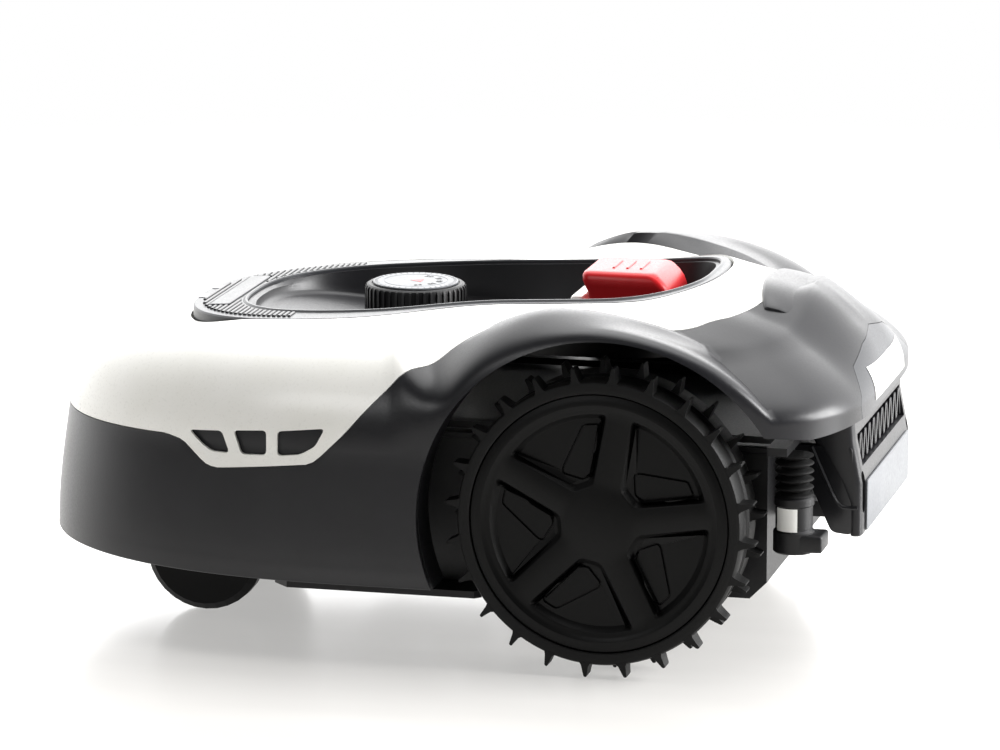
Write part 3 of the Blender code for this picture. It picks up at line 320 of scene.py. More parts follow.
def through_modifiers(mesh, *modifiers):
    """The mesh after modifiers given as (type, settings)."""
    holder = linked("holder", mesh)
    for kind, settings in modifiers:
        modifier = holder.modifiers.new(kind, kind)
        for key, value in settings.items():
            setattr(modifier, key, value)
    result = finished_mesh(holder)
    bpy.data.objects.remove(holder, do_unlink=True)
    return result


def carved(mesh, cutter, operation="DIFFERENCE"):
    """Exact Boolean of two closed meshes."""
    tool = linked("tool", cutter)
    result = through_modifiers(mesh, ("BOOLEAN", {"object": tool, "operation": operation, "solver": "EXACT"}))
    bpy.data.objects.remove(tool, do_unlink=True)
    return result


def rounded_edges(mesh, width, segments=2, angle=30.0):
    """The mesh with its sharper edges bevelled."""
    return through_modifiers(mesh, ("BEVEL", {"width": width, "segments": segments, "limit_method": "ANGLE",
                                              "angle_limit": radians(angle), "harden_normals": False}))


def loft(rings, loop=False, strips=False):
    """A skin through rings of equal point counts."""
    bm = bmesh.new()
    rows = [[bm.verts.new(point) for point in points] for points in rings]
    count = len(rows[0])
    pairs = list(zip(rows, rows[1:]))
    if loop:
        pairs.append((rows[-1], rows[0]))
    for near, far in pairs:
        for i in range(count):
            j = (i + 1) % count
            bm.faces.new((near[i], near[j], far[j], far[i]))
    if not loop:
        for row in (rows[0], list(reversed(rows[-1]))):
            if strips:
                for i in range(count // 2):
                    corners = [row[i], row[i + 1], row[(count - i - 1) % count], row[(count - i) % count]]
                    bm.faces.new(list(dict.fromkeys(corners)))
            else:
                bm.faces.new(row)
    return mesh_of(bm)


def turned(profile, steps=96):
    """A turned solid round +Z from (radius, height) points; a profile off the axis closes on itself."""
    bm = bmesh.new()
    rows = []
    for radius, height in profile:
        if radius == 0:
            rows.append([bm.verts.new((0, 0, height))])
        else:
            rows.append([bm.verts.new((*on_circle(radius, i, steps), height)) for i in range(steps)])
    pairs = list(zip(rows, rows[1:]))
    if profile[0][0] > 0 or profile[-1][0] > 0:
        pairs.append((rows[-1], rows[0]))
    for near, far in pairs:
        for i in range(steps):
            corners = list(dict.fromkeys([near[i % len(near)], near[(i + 1) % len(near)],
                                          far[(i + 1) % len(far)], far[i % len(far)]]))
            if len(corners) > 2:
                bm.faces.new(corners)
    return mesh_of(bm)


def placed(mesh, *matrices):
    """The mesh moved by matrices, first to last, with its faces kept outward."""
    for matrix in matrices:
        mesh.transform(matrix)
        if matrix.determinant() < 0:
            mesh.flip_normals()
    return mesh


def moved(x, y, z):
    return Matrix.Translation((x, y, z))


TO_Y = Matrix.Rotation(-pi / 2, 4, "X")         # +Z to +Y
FACE_LEFT = Matrix(((-1, 0, 0, 0), (0, 0, 1, 0), (0, 1, 0, 0), (0, 0, 0, 1)))    # +Z to +Y, upright
MIRROR_Y = Matrix.Scale(-1, 4, (0, 1, 0))
SQUARE_TO = {                                   # drawing plane to the plane square to an axis
    "Y": Matrix(((1, 0, 0, 0), (0, 0, 1, 0), (0, 1, 0, 0), (0, 0, 0, 1))),
    "X": Matrix(((0, 0, 1, 0), (1, 0, 0, 0), (0, 1, 0, 0), (0, 0, 0, 1))),
}


def slab(outline, low, high, normal="Z"):
    """A flat outline with thickness, square to the named axis."""
    bm = bmesh.new()
    lower = [bm.verts.new((u, v, low)) for u, v in outline]
    upper = [bm.verts.new((u, v, high)) for u, v in outline]
    bm.faces.new(lower)
    bm.faces.new(list(reversed(upper)))
    for i in range(len(outline)):
        j = (i + 1) % len(outline)
        bm.faces.new((lower[i], upper[i], upper[j], lower[j]))
    if normal in SQUARE_TO:
        bmesh.ops.transform(bm, matrix=SQUARE_TO[normal], verts=bm.verts)
    return mesh_of(bm)


def block(low, high):
    """A box between two corners."""
    (x0, y0, z0), (x1, y1, z1) = low, high
    return slab([(x0, y0), (x1, y0), (x1, y1), (x0, y1)], z0, z1)


def soft_corners(points, radius, steps=5):
    """A closed outline whose corners are rounded by short curves."""
    result = []
    count = len(points)
    for i in range(count):
        before, at, after = (Vector(points[(i + k) % count]) for k in (-1, 0, 1))
        reach_in = min(radius, (before - at).length * 0.45)
        reach_out = min(radius, (after - at).length * 0.45)
        start = at + (before - at).normalized() * reach_in
        end = at + (after - at).normalized() * reach_out
        for k in range(steps + 1):
            t = k / steps
            point = start * (1 - t) ** 2 + at * 2 * t * (1 - t) + end * t ** 2
            result.append((point.x, point.y))
    return result


def rounded_box_ring(x0, x1, y0, y1, z, corner, steps=6):
    """One level ring of a box with rounded corners."""
    points = soft_corners([(x0, y0), (x1, y0), (x1, y1), (x0, y1)], corner, steps)
    return [Vector((x, y, z)) for x, y in points]


def inset_loop(points, distance):
    """A closed anticlockwise loop moved inward."""
    result = []
    count = len(points)
    for i in range(count):
        a, b = Vector(points[i - 1]), Vector(points[(i + 1) % count])
        along_edge = (b - a).normalized()
        result.append((points[i][0] - along_edge.y * distance, points[i][1] + along_edge.x * distance))
    return result


def tube(path, radius, steps=10):
    """A round bead along a path, its ends closed."""
    rings = []
    for i, at in enumerate(path):
        before, after = path[max(i - 1, 0)], path[min(i + 1, len(path) - 1)]
        forward = (after - before).normalized()
        side = forward.cross(Vector((0.1, 0.2, 1.0))).normalized()
        up = side.cross(forward).normalized()
        rings.append([at + (side * cos(2 * pi * k / steps) + up * sin(2 * pi * k / steps)) * radius
                      for k in range(steps)])
    return loft(rings)


# ---------------------------------------------------------------- repeated pieces
def start_tree(name, inputs):
    """A geometry tree with named inputs; returns it and its input node."""
    tree = bpy.data.node_groups.new(name, "GeometryNodeTree")
    tree.interface.new_socket("Geometry", in_out="INPUT", socket_type="NodeSocketGeometry")
    for label, kind in inputs:
        tree.interface.new_socket(label, in_out="INPUT", socket_type="NodeSocket" + kind)
    tree.interface.new_socket("Geometry", in_out="OUTPUT", socket_type="NodeSocketGeometry")
    return tree, put(tree, "NodeGroupInput")


def end_tree(tree, instances, finish):
    """Realise the copies, give them their finish, and hand them out."""
    real = put(tree, "GeometryNodeRealizeInstances", {}, {0: instances})
    painted = put(tree, "GeometryNodeSetMaterial", {}, {"Geometry": real.outputs[0], "Material": finish})
    put(tree, "NodeGroupOutput", {}, {0: painted.outputs[0]})
    return tree


def ring_tree():
    """Copies of a piece evenly round +Z, each turned to face outward."""
    tree, given = start_tree("pieces_in_a_ring", [
        ("Count", "Int"), ("Radius", "Float"), ("Start Angle", "Float"), ("Piece", "Object"),
        ("Finish", "Material")])
    points = put(tree, "GeometryNodeMeshLine", {}, {"Count": given.outputs["Count"]})
    share = put(tree, "ShaderNodeMath", {"operation": "DIVIDE"},
                {0: put(tree, "GeometryNodeInputIndex").outputs[0], 1: given.outputs["Count"]})
    angle = put(tree, "ShaderNodeMath", {"operation": "MULTIPLY_ADD", 1: 2 * pi},
                {0: share.outputs[0], 2: given.outputs["Start Angle"]}).outputs[0]
    across = put(tree, "ShaderNodeMath", {"operation": "COSINE"}, {0: angle}).outputs[0]
    ahead = put(tree, "ShaderNodeMath", {"operation": "SINE"}, {0: angle}).outputs[0]
    direction = put(tree, "ShaderNodeCombineXYZ", {}, {"X": across, "Y": ahead}).outputs[0]
    place = put(tree, "ShaderNodeVectorMath", {"operation": "SCALE"},
                {0: direction, "Scale": given.outputs["Radius"]}).outputs[0]
    on_ring = put(tree, "GeometryNodeSetPosition", {}, {"Geometry": points.outputs[0], "Position": place})
    euler = put(tree, "ShaderNodeCombineXYZ", {}, {"Z": angle}).outputs[0]
    turn = put(tree, "FunctionNodeEulerToRotation", {}, {0: euler}).outputs[0]
    source = put(tree, "GeometryNodeObjectInfo", {}, {"Object": given.outputs["Piece"]})
    copies = put(tree, "GeometryNodeInstanceOnPoints", {},
                 {"Points": on_ring.outputs[0], "Instance": source.outputs["Geometry"], "Rotation": turn})
    return end_tree(tree, copies.outputs[0], given.outputs["Finish"])


def place_tree():
    """Copies of a piece on given points, with each point's own turn and stretch."""
    tree, given = start_tree("pieces_on_points",
                             [("Size", "Float"), ("Piece", "Object"), ("Finish", "Material")])
    turn = put(tree, "GeometryNodeInputNamedAttribute", {"data_type": "FLOAT_VECTOR", "Name": "turn"})
    stretch = put(tree, "GeometryNodeInputNamedAttribute", {"data_type": "FLOAT_VECTOR", "Name": "stretch"})
    rotation = put(tree, "FunctionNodeEulerToRotation", {}, {0: turn.outputs[0]}).outputs[0]
    size = put(tree, "ShaderNodeVectorMath", {"operation": "SCALE"},
               {0: stretch.outputs[0], "Scale": given.outputs["Size"]}).outputs[0]
    source = put(tree, "GeometryNodeObjectInfo", {}, {"Object": given.outputs["Piece"]})
    copies = put(tree, "GeometryNodeInstanceOnPoints", {},
                 {"Points": given.outputs["Geometry"], "Instance": source.outputs["Geometry"],
                  "Rotation": rotation, "Scale": size})
    return end_tree(tree, copies.outputs[0], given.outputs["Finish"])


def grown(tree, seed, unit, finish, **values):
    """The plain mesh that a tree makes of copies of a unit mesh."""
    source = linked("unit", unit)
    holder = linked("grown", seed)
    modifier = holder.modifiers.new("grow", "NODES")
    modifier.node_group = tree
    sockets = {item.name: item.identifier for item in tree.interface.items_tree
               if item.item_type == "SOCKET" and item.in_out == "INPUT"}
    for label, value in {"Piece": source, "Finish": finish, **values}.items():
        modifier[sockets[label.replace("_", " ")]] = value
    mesh = finished_mesh(holder)
    holder.modifiers.clear()
    for obj in (source, holder):
        bpy.data.objects.remove(obj, do_unlink=True)
    return mesh


def in_ring(unit, finish, count, radius, start=0.0):
    """Copies of a piece in a ring round +Z."""
    return grown(RING, bpy.data.meshes.new("seed"), unit, finish,
                 Count=count, Radius=radius, Start_Angle=start)


def on_points(unit, finish, places):
    """Copies at (position, turn, stretch) rows."""
    seed = bpy.data.meshes.new("seed")
    seed.from_pydata([p for p, _, _ in places], [], [])
    for label, column in (("turn", 1), ("stretch", 2)):
        attribute = seed.attributes.new(label, "FLOAT_VECTOR", "POINT")
        for row, value in zip(places, attribute.data):
            value.vector = row[column]
    return grown(PLACES, seed, unit, finish, Size=1.0)


# ---------------------------------------------------------------- body surface
def blend(low, high, value):
    """0 below low, 1 above high, smooth in between."""
    t = min(max((value - low) / (high - low), 0.0), 1.0)
    return t * t * (3 - 2 * t)


def along(x, stops):
    """Straight-line value between (place, value) stops in falling order of place."""
    if x >= stops[0][0]:
        return stops[0][1]
    for (xa, a), (xb, b) in zip(stops, stops[1:]):
        if x >= xb:
            return b + (a - b) * (x - xb) / (xa - xb)
    return stops[-1][1]


def from_axle(rows):
    """(x, value) rows whose x is given from the wheel axle, forward positive."""
    return [(AXLE_X + ahead, value) for ahead, value in rows]


def smoothly_along(x, stops, width=0.012, taps=9):
    """The same with its corners rounded over a width."""
    return sum(along(x + width * (k / (taps - 1) - 0.5), stops) for k in range(taps)) / taps


def even_points(path, count):
    """Points at even steps of length along a path of (x, y)."""
    lengths = [0.0]
    for a, b in zip(path, path[1:]):
        lengths.append(lengths[-1] + hypot(b[0] - a[0], b[1] - a[1]))
    result = []
    k = 0
    for i in range(count + 1):
        target = lengths[-1] * i / count
        while k < len(path) - 2 and lengths[k + 1] < target:
            k += 1
        t = (target - lengths[k]) / (lengths[k + 1] - lengths[k])
        a, b = path[k], path[k + 1]
        result.append((a[0] + (b[0] - a[0]) * t, a[1] + (b[1] - a[1]) * t))
    return result


def body_outline(inset_front=0.0, inset_side=0.0):
    """Half of the shell's plan, from the nose round the left to the rear."""
    path = []
    samples = 1200
    half_width = HALF_WIDTH - inset_side
    for i in range(samples + 1):
        angle = pi * i / samples
        c, s = cos(angle), sin(angle)
        power = NOSE_POWER if c >= 0 else TAIL_POWER
        reach = NOSE_X - inset_front - PLAN_CENTRE_X if c >= 0 else PLAN_CENTRE_X - REAR_X
        path.append((PLAN_CENTRE_X + copysign(reach * abs(c) ** (2 / power), c),
                     half_width * abs(s) ** (2 / power)))
    return even_points(path, COLUMNS)


def deck_outline(inset=0.0, count=COLUMNS):
    """Half of the top deck's plan, wide round the knob and narrow round the button."""
    wide_x = AXLE_X + 0.205
    waist_x = AXLE_X + 0.090
    rear_x = AXLE_X - 0.003
    front = DECK_FRONT_X - inset
    rear = DECK_REAR_X + inset
    path = []
    samples = 200
    for i in range(samples + 1):
        angle = pi / 2 * i / samples
        path.append((wide_x + (front - wide_x) * cos(angle) ** 0.8,
                     (DECK_HALF_WIDTH - inset) * sin(angle) ** 0.8))
    for i in range(1, samples):
        x = wide_x + (rear_x - wide_x) * i / samples
        taper = blend(waist_x, wide_x, x)
        path.append((x, DECK_WAIST + (DECK_HALF_WIDTH - DECK_WAIST) * taper - inset))
    for i in range(samples + 1):
        angle = pi / 2 * i / samples
        path.append((rear_x + (rear - rear_x) * sin(angle) ** (2 / 2.2),
                     (DECK_WAIST - inset) * max(cos(angle), 0.0) ** (2 / 2.2)))
    return even_points(path, count)


def deck_height(x):
    """Height of the deck's surface, rising from the nose to the tail."""
    return FENDER_TOP + smoothly_along(x, [
        (DECK_FRONT_X, -0.029), (AXLE_X + 0.280, -0.025), (AXLE_X + 0.181, -0.0175),
        (AXLE_X + 0.121, -0.011), (AXLE_X - 0.003, -0.004), (DECK_REAR_X, 0.007)], 0.05)


def nose_step(x):
    """How far the hood stays below the deck's edge, at the nose only."""
    return NOSE_STEP * blend(DECK_FRONT_X - 0.075, DECK_FRONT_X - 0.004, x)


def shoulder_height(x, deck_z):
    """Height of the outer shoulder: it follows the wheel arch, then meets the hood."""
    ahead = x - AXLE_X
    reach = min(abs(ahead), LIP_RADIUS * 0.96)
    arch = AXLE_Z + sqrt(LIP_RADIUS ** 2 - reach ** 2) - 0.002
    if ahead > 0:
        return arch + (deck_z - arch) * blend(LIP_RADIUS * 0.72, LIP_RADIUS * 1.04, ahead)
    return max(arch, FENDER_TOP - 0.062)


def section_power(x):
    """How square the section is: round on the hood, square over the wheels."""
    ahead = x - AXLE_X
    if ahead > 0:
        return SQUARE_POWER + (ROUND_POWER - SQUARE_POWER) * blend(0.080, 0.150, ahead)
    return SQUARE_POWER


def rise_inward(x, y, inward):
    """Climb from shoulder to deck: straight ahead of the axle, rounded behind it, most at the middle."""
    curve = 1.0 + blend(0.0, 0.09, AXLE_X - x) * (0.3 + 0.7 * (1 - blend(0.02, 0.10, abs(y))))
    return (1 - (1 - inward) ** curve) ** (1 / curve)


def belt_height(x):
    """Height of the body's widest line, higher behind the axle."""
    return BELT_Z + (REAR_EDGE_Z - BELT_Z) * blend(-0.10, 0.10, AXLE_X - x)


# Rows up the skirt: share of its height, and how far the rolled edge tucks in.
LOW_ROWS = ((0.0, 0.0014), (0.03, 0.0004), (0.07, 0.0), (0.6, 0.0), (0.92, 0.0), (1.0, 0.0))


def section_points(foot, crease, belt, deck):
    """Finely spaced points up one section, from the skirt's edge to the deck's edge."""
    points = []
    for share, tuck in LOW_ROWS:
        x = foot[0] + (crease[0] - foot[0]) * share
        y = foot[1] + (crease[1] - foot[1]) * share
        pull = 1 - tuck / 0.2
        points.append(Vector((PLAN_CENTRE_X + (x - PLAN_CENTRE_X) * pull, y * pull,
                              SKIRT_Z + (CREASE_Z - SKIRT_Z) * share)))
    low_z = belt_height(belt[0])
    for k in range(1, 9):
        t = k / 8
        lean = t ** 1.25
        points.append(Vector((crease[0] + (belt[0] - crease[0]) * lean,
                              crease[1] + (belt[1] - crease[1]) * lean,
                              CREASE_Z + (low_z - CREASE_Z) * t)))
    power = section_power(belt[0])
    deck_z = deck_height(deck[0])
    rows = 40
    for k in range(1, rows + 1):
        s = k / rows
        angle = (s - 0.55 * sin(2 * pi * s) / (2 * pi)) * pi / 2
        inward = 1 - max(cos(angle), 0.0) ** (2 / power)
        upward = sin(angle) ** (2 / power)
        top_z = shoulder_height(belt[0], deck_z)
        top_z += (deck_z - top_z) * rise_inward(belt[0], belt[1], inward)
        z = low_z + (top_z - low_z) * upward - nose_step(deck[0]) * blend(0.3, 1.0, inward)
        points.append(Vector((belt[0] + (deck[0] - belt[0]) * inward,
                              belt[1] + (deck[1] - belt[1]) * inward, z)))
    return points


MEET_X = AXLE_X + 0.204       # where the two halves of the hood's lower edge meet
HOOD_HEIGHTS = [               # height, along the nose
    (NOSE_X + 0.05, BELT_Z - 0.002), (AXLE_X + 0.316, BELT_Z + 0.004), (AXLE_X + 0.302, BELT_Z + 0.001),
    (AXLE_X + 0.284, BELT_Z - 0.014), (AXLE_X + 0.276, BELT_Z - 0.016), (MEET_X, BELT_Z - 0.008),
]
HOOD_SLANTS = from_axle([      # height above the half width, along the flank
    (0.204, -0.0565), (0.180, -0.033), (0.162, -0.008), (0.146, 0.016), (0.132, 0.037), (0.113, 0.062),
    (0.079, 0.092), (0.040, 0.105), (0.005, 0.112), (-0.031, 0.1175), (-0.059, 0.121), (-0.072, 0.131),
    (-0.080, 0.145), (-0.096, 0.174), (-0.108, 0.240), (-0.112, 0.300),
])


def above_split(point):
    """How far a point lies on the hood's side of the parting line."""
    if point.x >= MEET_X:
        return point.z - smoothly_along(point.x, HOOD_HEIGHTS, 0.006)
    return point.z - abs(point.y) - smoothly_along(point.x, HOOD_SLANTS, 0.010)


def split_place(points):
    """Where up the section the parting line is, as a row number with a fraction."""
    sides = [above_split(point) for point in points]
    last = max(k for k, side in enumerate(sides) if side < 0)
    if last == len(points) - 1:
        return float(last)
    return last + sides[last] / (sides[last] - sides[last + 1])


def at_row(points, row):
    """The point at a row number with a fraction."""
    low = min(int(row), len(points) - 2)
    return points[low].lerp(points[low + 1], row - low)


def crest(point, distance):
    """The fender's rise beside the hood, for a point that far outside the parting line."""
    share = blend(0.115, 0.045, point.x - AXLE_X) if point.x > AXLE_X else 1.0
    rise = blend(0.0, 0.0045, distance) * (1 - blend(0.010, 0.055, distance))
    return CREST * share * rise


def trimmed_sections(sections, hood_side):
    """Each section kept on one side of the parting line, its last row lying on the line."""
    result = []
    for points in sections:
        place = split_place(points)
        edge = at_row(points, place)
        slope = (at_row(points, min(place + 0.2, len(points) - 1)) - at_row(points, place - 0.2)).normalized()
        edge = edge + slope * (SEAM if hood_side else -SEAM)
        nearest = round(place)
        kept = []
        reach = 0.0
        rows = range(len(points)) if hood_side else range(len(points) - 1, -1, -1)
        for k in rows:
            inside = k > nearest if hood_side else k < nearest
            point = points[k] if inside else edge
            if inside and not hood_side:
                reach += (point - last).length
                point = point + Vector((0, 0, crest(point, reach)))
                last = points[k]
            else:
                last = points[k] if inside else edge
            kept.append(point)
        result.append(kept if hood_side else list(reversed(kept)))
    return result


def around(sections):
    """The left half's sections with their mirror twins, as one loop round the body."""
    right = [[Vector((p.x, -p.y, p.z)) for p in points] for points in reversed(sections[1:-1])]
    return sections + right


def surface_mesh(sections, wall=SKIN, sunk=0.0):
    """Closed wall through sections that stand side by side round the body."""
    loops = around(sections)
    bm = bmesh.new()
    columns = [[bm.verts.new(point) for point in points] for points in loops]
    for near, far in zip(columns, columns[1:] + columns[:1]):
        for k in range(len(near) - 1):
            bm.faces.new((near[k], far[k], far[k + 1], near[k + 1]))
    bmesh.ops.remove_doubles(bm, verts=bm.verts, dist=2e-6)
    bmesh.ops.dissolve_degenerate(bm, edges=bm.edges, dist=2e-6)
    bmesh.ops.delete(bm, geom=[e for e in bm.edges if not e.link_faces], context="EDGES")
    mesh = plain_mesh(bm)
    steps = []
    if sunk:
        steps.append(("DISPLACE", {"strength": -sunk, "mid_level": 0.0}))
    steps.append(("SOLIDIFY", {"thickness": wall, "offset": -1.0}))
    return through_modifiers(mesh, *steps)


def body_sections():
    """Every section of the body's left half, from the nose to the rear."""
    parts = zip(body_outline(), body_outline(0.001, 0.0), body_outline(0.010, 0.004), deck_outline())
    return [section_points(*columns) for columns in parts]


# ---------------------------------------------------------------- shell
def rod_y(radius, x, z, low, high, steps=180):
    """A cylinder across the body, as a cutter."""
    return placed(turned([(0, high), (radius, high), (radius, low), (0, low)], steps), TO_Y, moved(x, 0, z))


def arch_spaces():
    """What the wheels, the rear undercut and the ground gap take out of the shell."""
    inner_y = WHEEL_INNER_Y - 0.020
    undercut = from_axle([
        (-0.095, SKIRT_Z - 0.02), (-0.095, REAR_EDGE_Z + 0.001), (-0.112, REAR_EDGE_Z + 0.0005),
        (-0.128, REAR_EDGE_Z - 0.0015), (-0.140, REAR_EDGE_Z - 0.0035), (-0.152, REAR_EDGE_Z - 0.002),
        (-0.165, REAR_EDGE_Z)]) + [(REAR_X - 0.02, REAR_EDGE_Z), (REAR_X - 0.02, SKIRT_Z - 0.02)]
    mouth = block((AXLE_X - 0.10, -0.3, SKIRT_Z - 0.02), (AXLE_X + ARCH_RADIUS * 0.92, 0.3, AXLE_Z - 0.05))
    return [
        rod_y(ARCH_RADIUS, AXLE_X, AXLE_Z, inner_y, 0.4), rod_y(ARCH_RADIUS, AXLE_X, AXLE_Z, -0.4, -inner_y),
        slab(undercut, -0.4, 0.4, "Y"), mouth,
    ]


def rear_panel_outline(grow):
    """Five-sided plate on the rear slope, seen from behind: (y, z)."""
    half = [
        (0.0, REAR_EDGE_Z + 0.048 + grow), (0.040 + grow, REAR_EDGE_Z + 0.042 + grow),
        (0.072 + grow, REAR_EDGE_Z + 0.032 + grow),
        (0.098 + grow, REAR_EDGE_Z + 0.010), (0.088 + grow, REAR_EDGE_Z - 0.02),
    ]
    return half + [(-y, z) for y, z in reversed(half[1:])]


def vent_window_outlines():
    """Three slanted windows low on the flank: (x, z), front to rear."""
    top = BELT_Z + 0.014
    low = BELT_Z - 0.0045
    return [from_axle(rows) for rows in (
        [(0.297, BELT_Z + 0.009), (0.271, top - 0.003), (0.265, low), (0.279, low), (0.287, BELT_Z)],
        [(0.262, top - 0.002), (0.237, top), (0.237, low + 0.001), (0.256, low)],
        [(0.229, top), (0.194, top + 0.004), (0.201, BELT_Z + 0.005), (0.212, low + 0.003),
         (0.229, low + 0.001)],
    )]


def make_shell(finishes):
    sections = body_sections()
    lower = surface_mesh(trimmed_sections(sections, False), SHELL_WALL)
    panel = lower.copy()
    hood = surface_mesh(trimmed_sections(sections, True))
    for cutter in arch_spaces():
        lower = carved(lower, cutter)
    for cutter in arch_spaces()[2:]:
        panel = carved(panel, cutter)
    lower = carved(lower, slab(rear_panel_outline(0.0004), REAR_X - 0.05, REAR_X + 0.09, "X"))
    panel = carved(panel, slab(rear_panel_outline(0.0), REAR_X - 0.05, REAR_X + 0.09, "X"), "INTERSECT")
    for outline in vent_window_outlines():
        opening = soft_corners(outline, 0.0035, 5)
        for low_y, high_y in ((HALF_WIDTH - 0.06, HALF_WIDTH + 0.01),
                              (-HALF_WIDTH - 0.01, 0.06 - HALF_WIDTH)):
            hood = carved(hood, slab(opening, low_y, high_y, "Y"))
    piece("lower_shell_moulding", lower, finishes["shell"], "shell", ["lower_shell"], 40)
    piece("hood_moulding", hood, finishes["pale"], "shell", ["hood"], 40)
    piece("rear_panel_moulding", panel, finishes["deck"], "shell", ["rear_panel"], 40)
    for name, node, hand in (("vent_backing_left", "vent_insert_left", 1),
                             ("vent_backing_right", "vent_insert_right", -1)):
        backing = surface_mesh(sections, 0.0014, SKIN + 0.0006)
        space = block((AXLE_X + 0.190, min(hand * 0.13, hand * 0.22), BELT_Z - 0.0065),
                      (AXLE_X + 0.300, max(hand * 0.13, hand * 0.22), BELT_Z + 0.020))
        backing = carved(backing, space, "INTERSECT")
        piece(name, backing, finishes["shell"], "shell", [node])
    make_arch_liners(finishes)
    return sections


def outline_width(x):
    """Half width of the shell's widest line at x."""
    reach = NOSE_X - PLAN_CENTRE_X if x >= PLAN_CENTRE_X else PLAN_CENTRE_X - REAR_X
    power = NOSE_POWER if x >= PLAN_CENTRE_X else TAIL_POWER
    share = min(abs(x - PLAN_CENTRE_X) / reach, 1.0)
    return (HALF_WIDTH - 0.004) * (1 - share ** power) ** (1 / power)


def make_arch_liners(finishes):
    """Inner flange round each wheel arch, from the lip in towards the tub."""
    first, last = radians(-24), radians(152)
    steps = 72
    rings = []
    for i in range(steps + 1):
        angle = first + (last - first) * i / steps
        x = AXLE_X + ARCH_RADIUS * cos(angle)
        outer = min(outline_width(x) - 0.004, HALF_WIDTH - 0.007)
        inner = outer - 0.030
        ring = []
        for radius, y in ((ARCH_RADIUS + GAP, outer), (ARCH_RADIUS + GAP, inner),
                          (ARCH_RADIUS + 0.0025, inner), (ARCH_RADIUS + 0.0025, outer)):
            ring.append(Vector((AXLE_X + radius * cos(angle), y, AXLE_Z + radius * sin(angle))))
        rings.append(ring)
    left = loft(rings)
    right = placed(left.copy(), MIRROR_Y)
    piece("arch_flange_left", left, finishes["inner"], "shell")
    piece("arch_flange_right", right, finishes["inner"], "shell")


# ---------------------------------------------------------------- deck
def recess_outline(inset, count):
    """Half of the recess inside the deck's frame."""
    front = AXLE_X + 0.300 - inset
    rear = DECK_REAR_X + 0.011 + inset
    mid = AXLE_X + 0.060
    path = []
    samples = 200
    for i in range(samples + 1):
        angle = pi / 2 * i / samples
        path.append((AXLE_X + 0.190 + (front - AXLE_X - 0.190) * cos(angle) ** (2 / 2.6),
                     (0.091 - inset) * sin(angle) ** (2 / 2.6)))
    for i in range(1, samples):
        x = AXLE_X + 0.190 + (mid - AXLE_X - 0.190) * i / samples
        path.append((x, 0.077 + 0.014 * blend(AXLE_X + 0.09, AXLE_X + 0.19, x) - inset))
    for i in range(samples + 1):
        angle = pi / 2 * i / samples
        path.append((mid + (rear - mid) * sin(angle) ** (2 / 3.4),
                     (0.077 - inset) * max(cos(angle), 0.0) ** (2 / 3.4)))
    return even_points(path, count)


def recess_floor(x):
    """The floor is level, with a ramp up to the deck's nose."""
    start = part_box("height_knob")[1].x + 0.0105
    end = AXLE_X + 0.300
    t = min(max((x - start) / (end - start), 0.0), 1.0)
    return RECESS_FLOOR_Z + (deck_height(end) - 0.008 - RECESS_FLOOR_Z) * t


def closed_ring(half, z_of):
    """Half an outline and its mirror twin as one ring, at heights given by x."""
    points = [(x, y, z_of(x)) for x, y in half]
    return [Vector(p) for p in points + [(x, -y, z) for x, y, z in reversed(points[1:-1])]]


def make_deck(finishes):
    count = 150
    outer = deck_outline(DECK_SEAM, count)
    outer_in = deck_outline(DECK_SEAM + 0.0010, count)
    rim = recess_outline(-0.0034, count)
    bead = recess_outline(-0.0020, count)
    bead_in = recess_outline(-0.0007, count)
    inner = recess_outline(0.0, count)
    rings = [
        closed_ring(outer, lambda x: deck_height(x) - 0.004 - nose_step(x)),
        closed_ring(outer, lambda x: deck_height(x) - 0.0011),
        closed_ring(outer_in, deck_height),
        closed_ring(rim, lambda x: deck_height(x) + 0.0004),
        closed_ring(bead, lambda x: deck_height(x) + 0.0017),
        closed_ring(bead_in, lambda x: deck_height(x) + 0.0017),
        closed_ring(inner, lambda x: deck_height(x) + 0.0008),
        closed_ring(inner, lambda x: deck_height(x) - 0.004),
    ]
    piece("deck_frame_moulding", loft(rings, loop=True), finishes["deck"], "shell",
          ["deck_frame"], 28)
    make_tray(finishes, count)
    make_deck_ridges(finishes)
    make_deck_fittings(finishes)


def make_tray(finishes, count):
    wall = 0.0025
    stages = [
        (0.004, lambda x: recess_floor(x) - wall), (0.0003, lambda x: deck_height(x) - 0.001),
        (0.0003 + wall, lambda x: deck_height(x) - 0.001),
        (0.0055, lambda x: recess_floor(x) + 0.007), (0.0063, lambda x: recess_floor(x) + 0.0030),
        (0.0080, lambda x: recess_floor(x) + 0.0010), (0.0110, recess_floor),
    ]
    rings = [closed_ring(recess_outline(inset, count), height) for inset, height in stages]
    tray = loft(rings, strips=True)
    knob_low, knob_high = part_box("height_knob")
    knob_x = (knob_low.x + knob_high.x) / 2
    reach = KNOB_RADIUS + 0.0065
    well = placed(turned([(0, 0.03), (reach, 0.03), (reach, -0.03), (0, -0.03)]),
                  moved(knob_x, 0, RECESS_FLOOR_Z))
    piece("recess_tray_moulding", carved(tray, well), finishes["tray"], "shell",
          ["recess_tray"])


def half_width_at(outline, x):
    """Half width of an outline at x, or 0 beyond its ends."""
    for (xa, ya), (xb, yb) in zip(outline, outline[1:]):
        if xb <= x <= xa and xa > xb:
            return yb + (ya - yb) * (x - xb) / (xa - xb)
    return 0.0


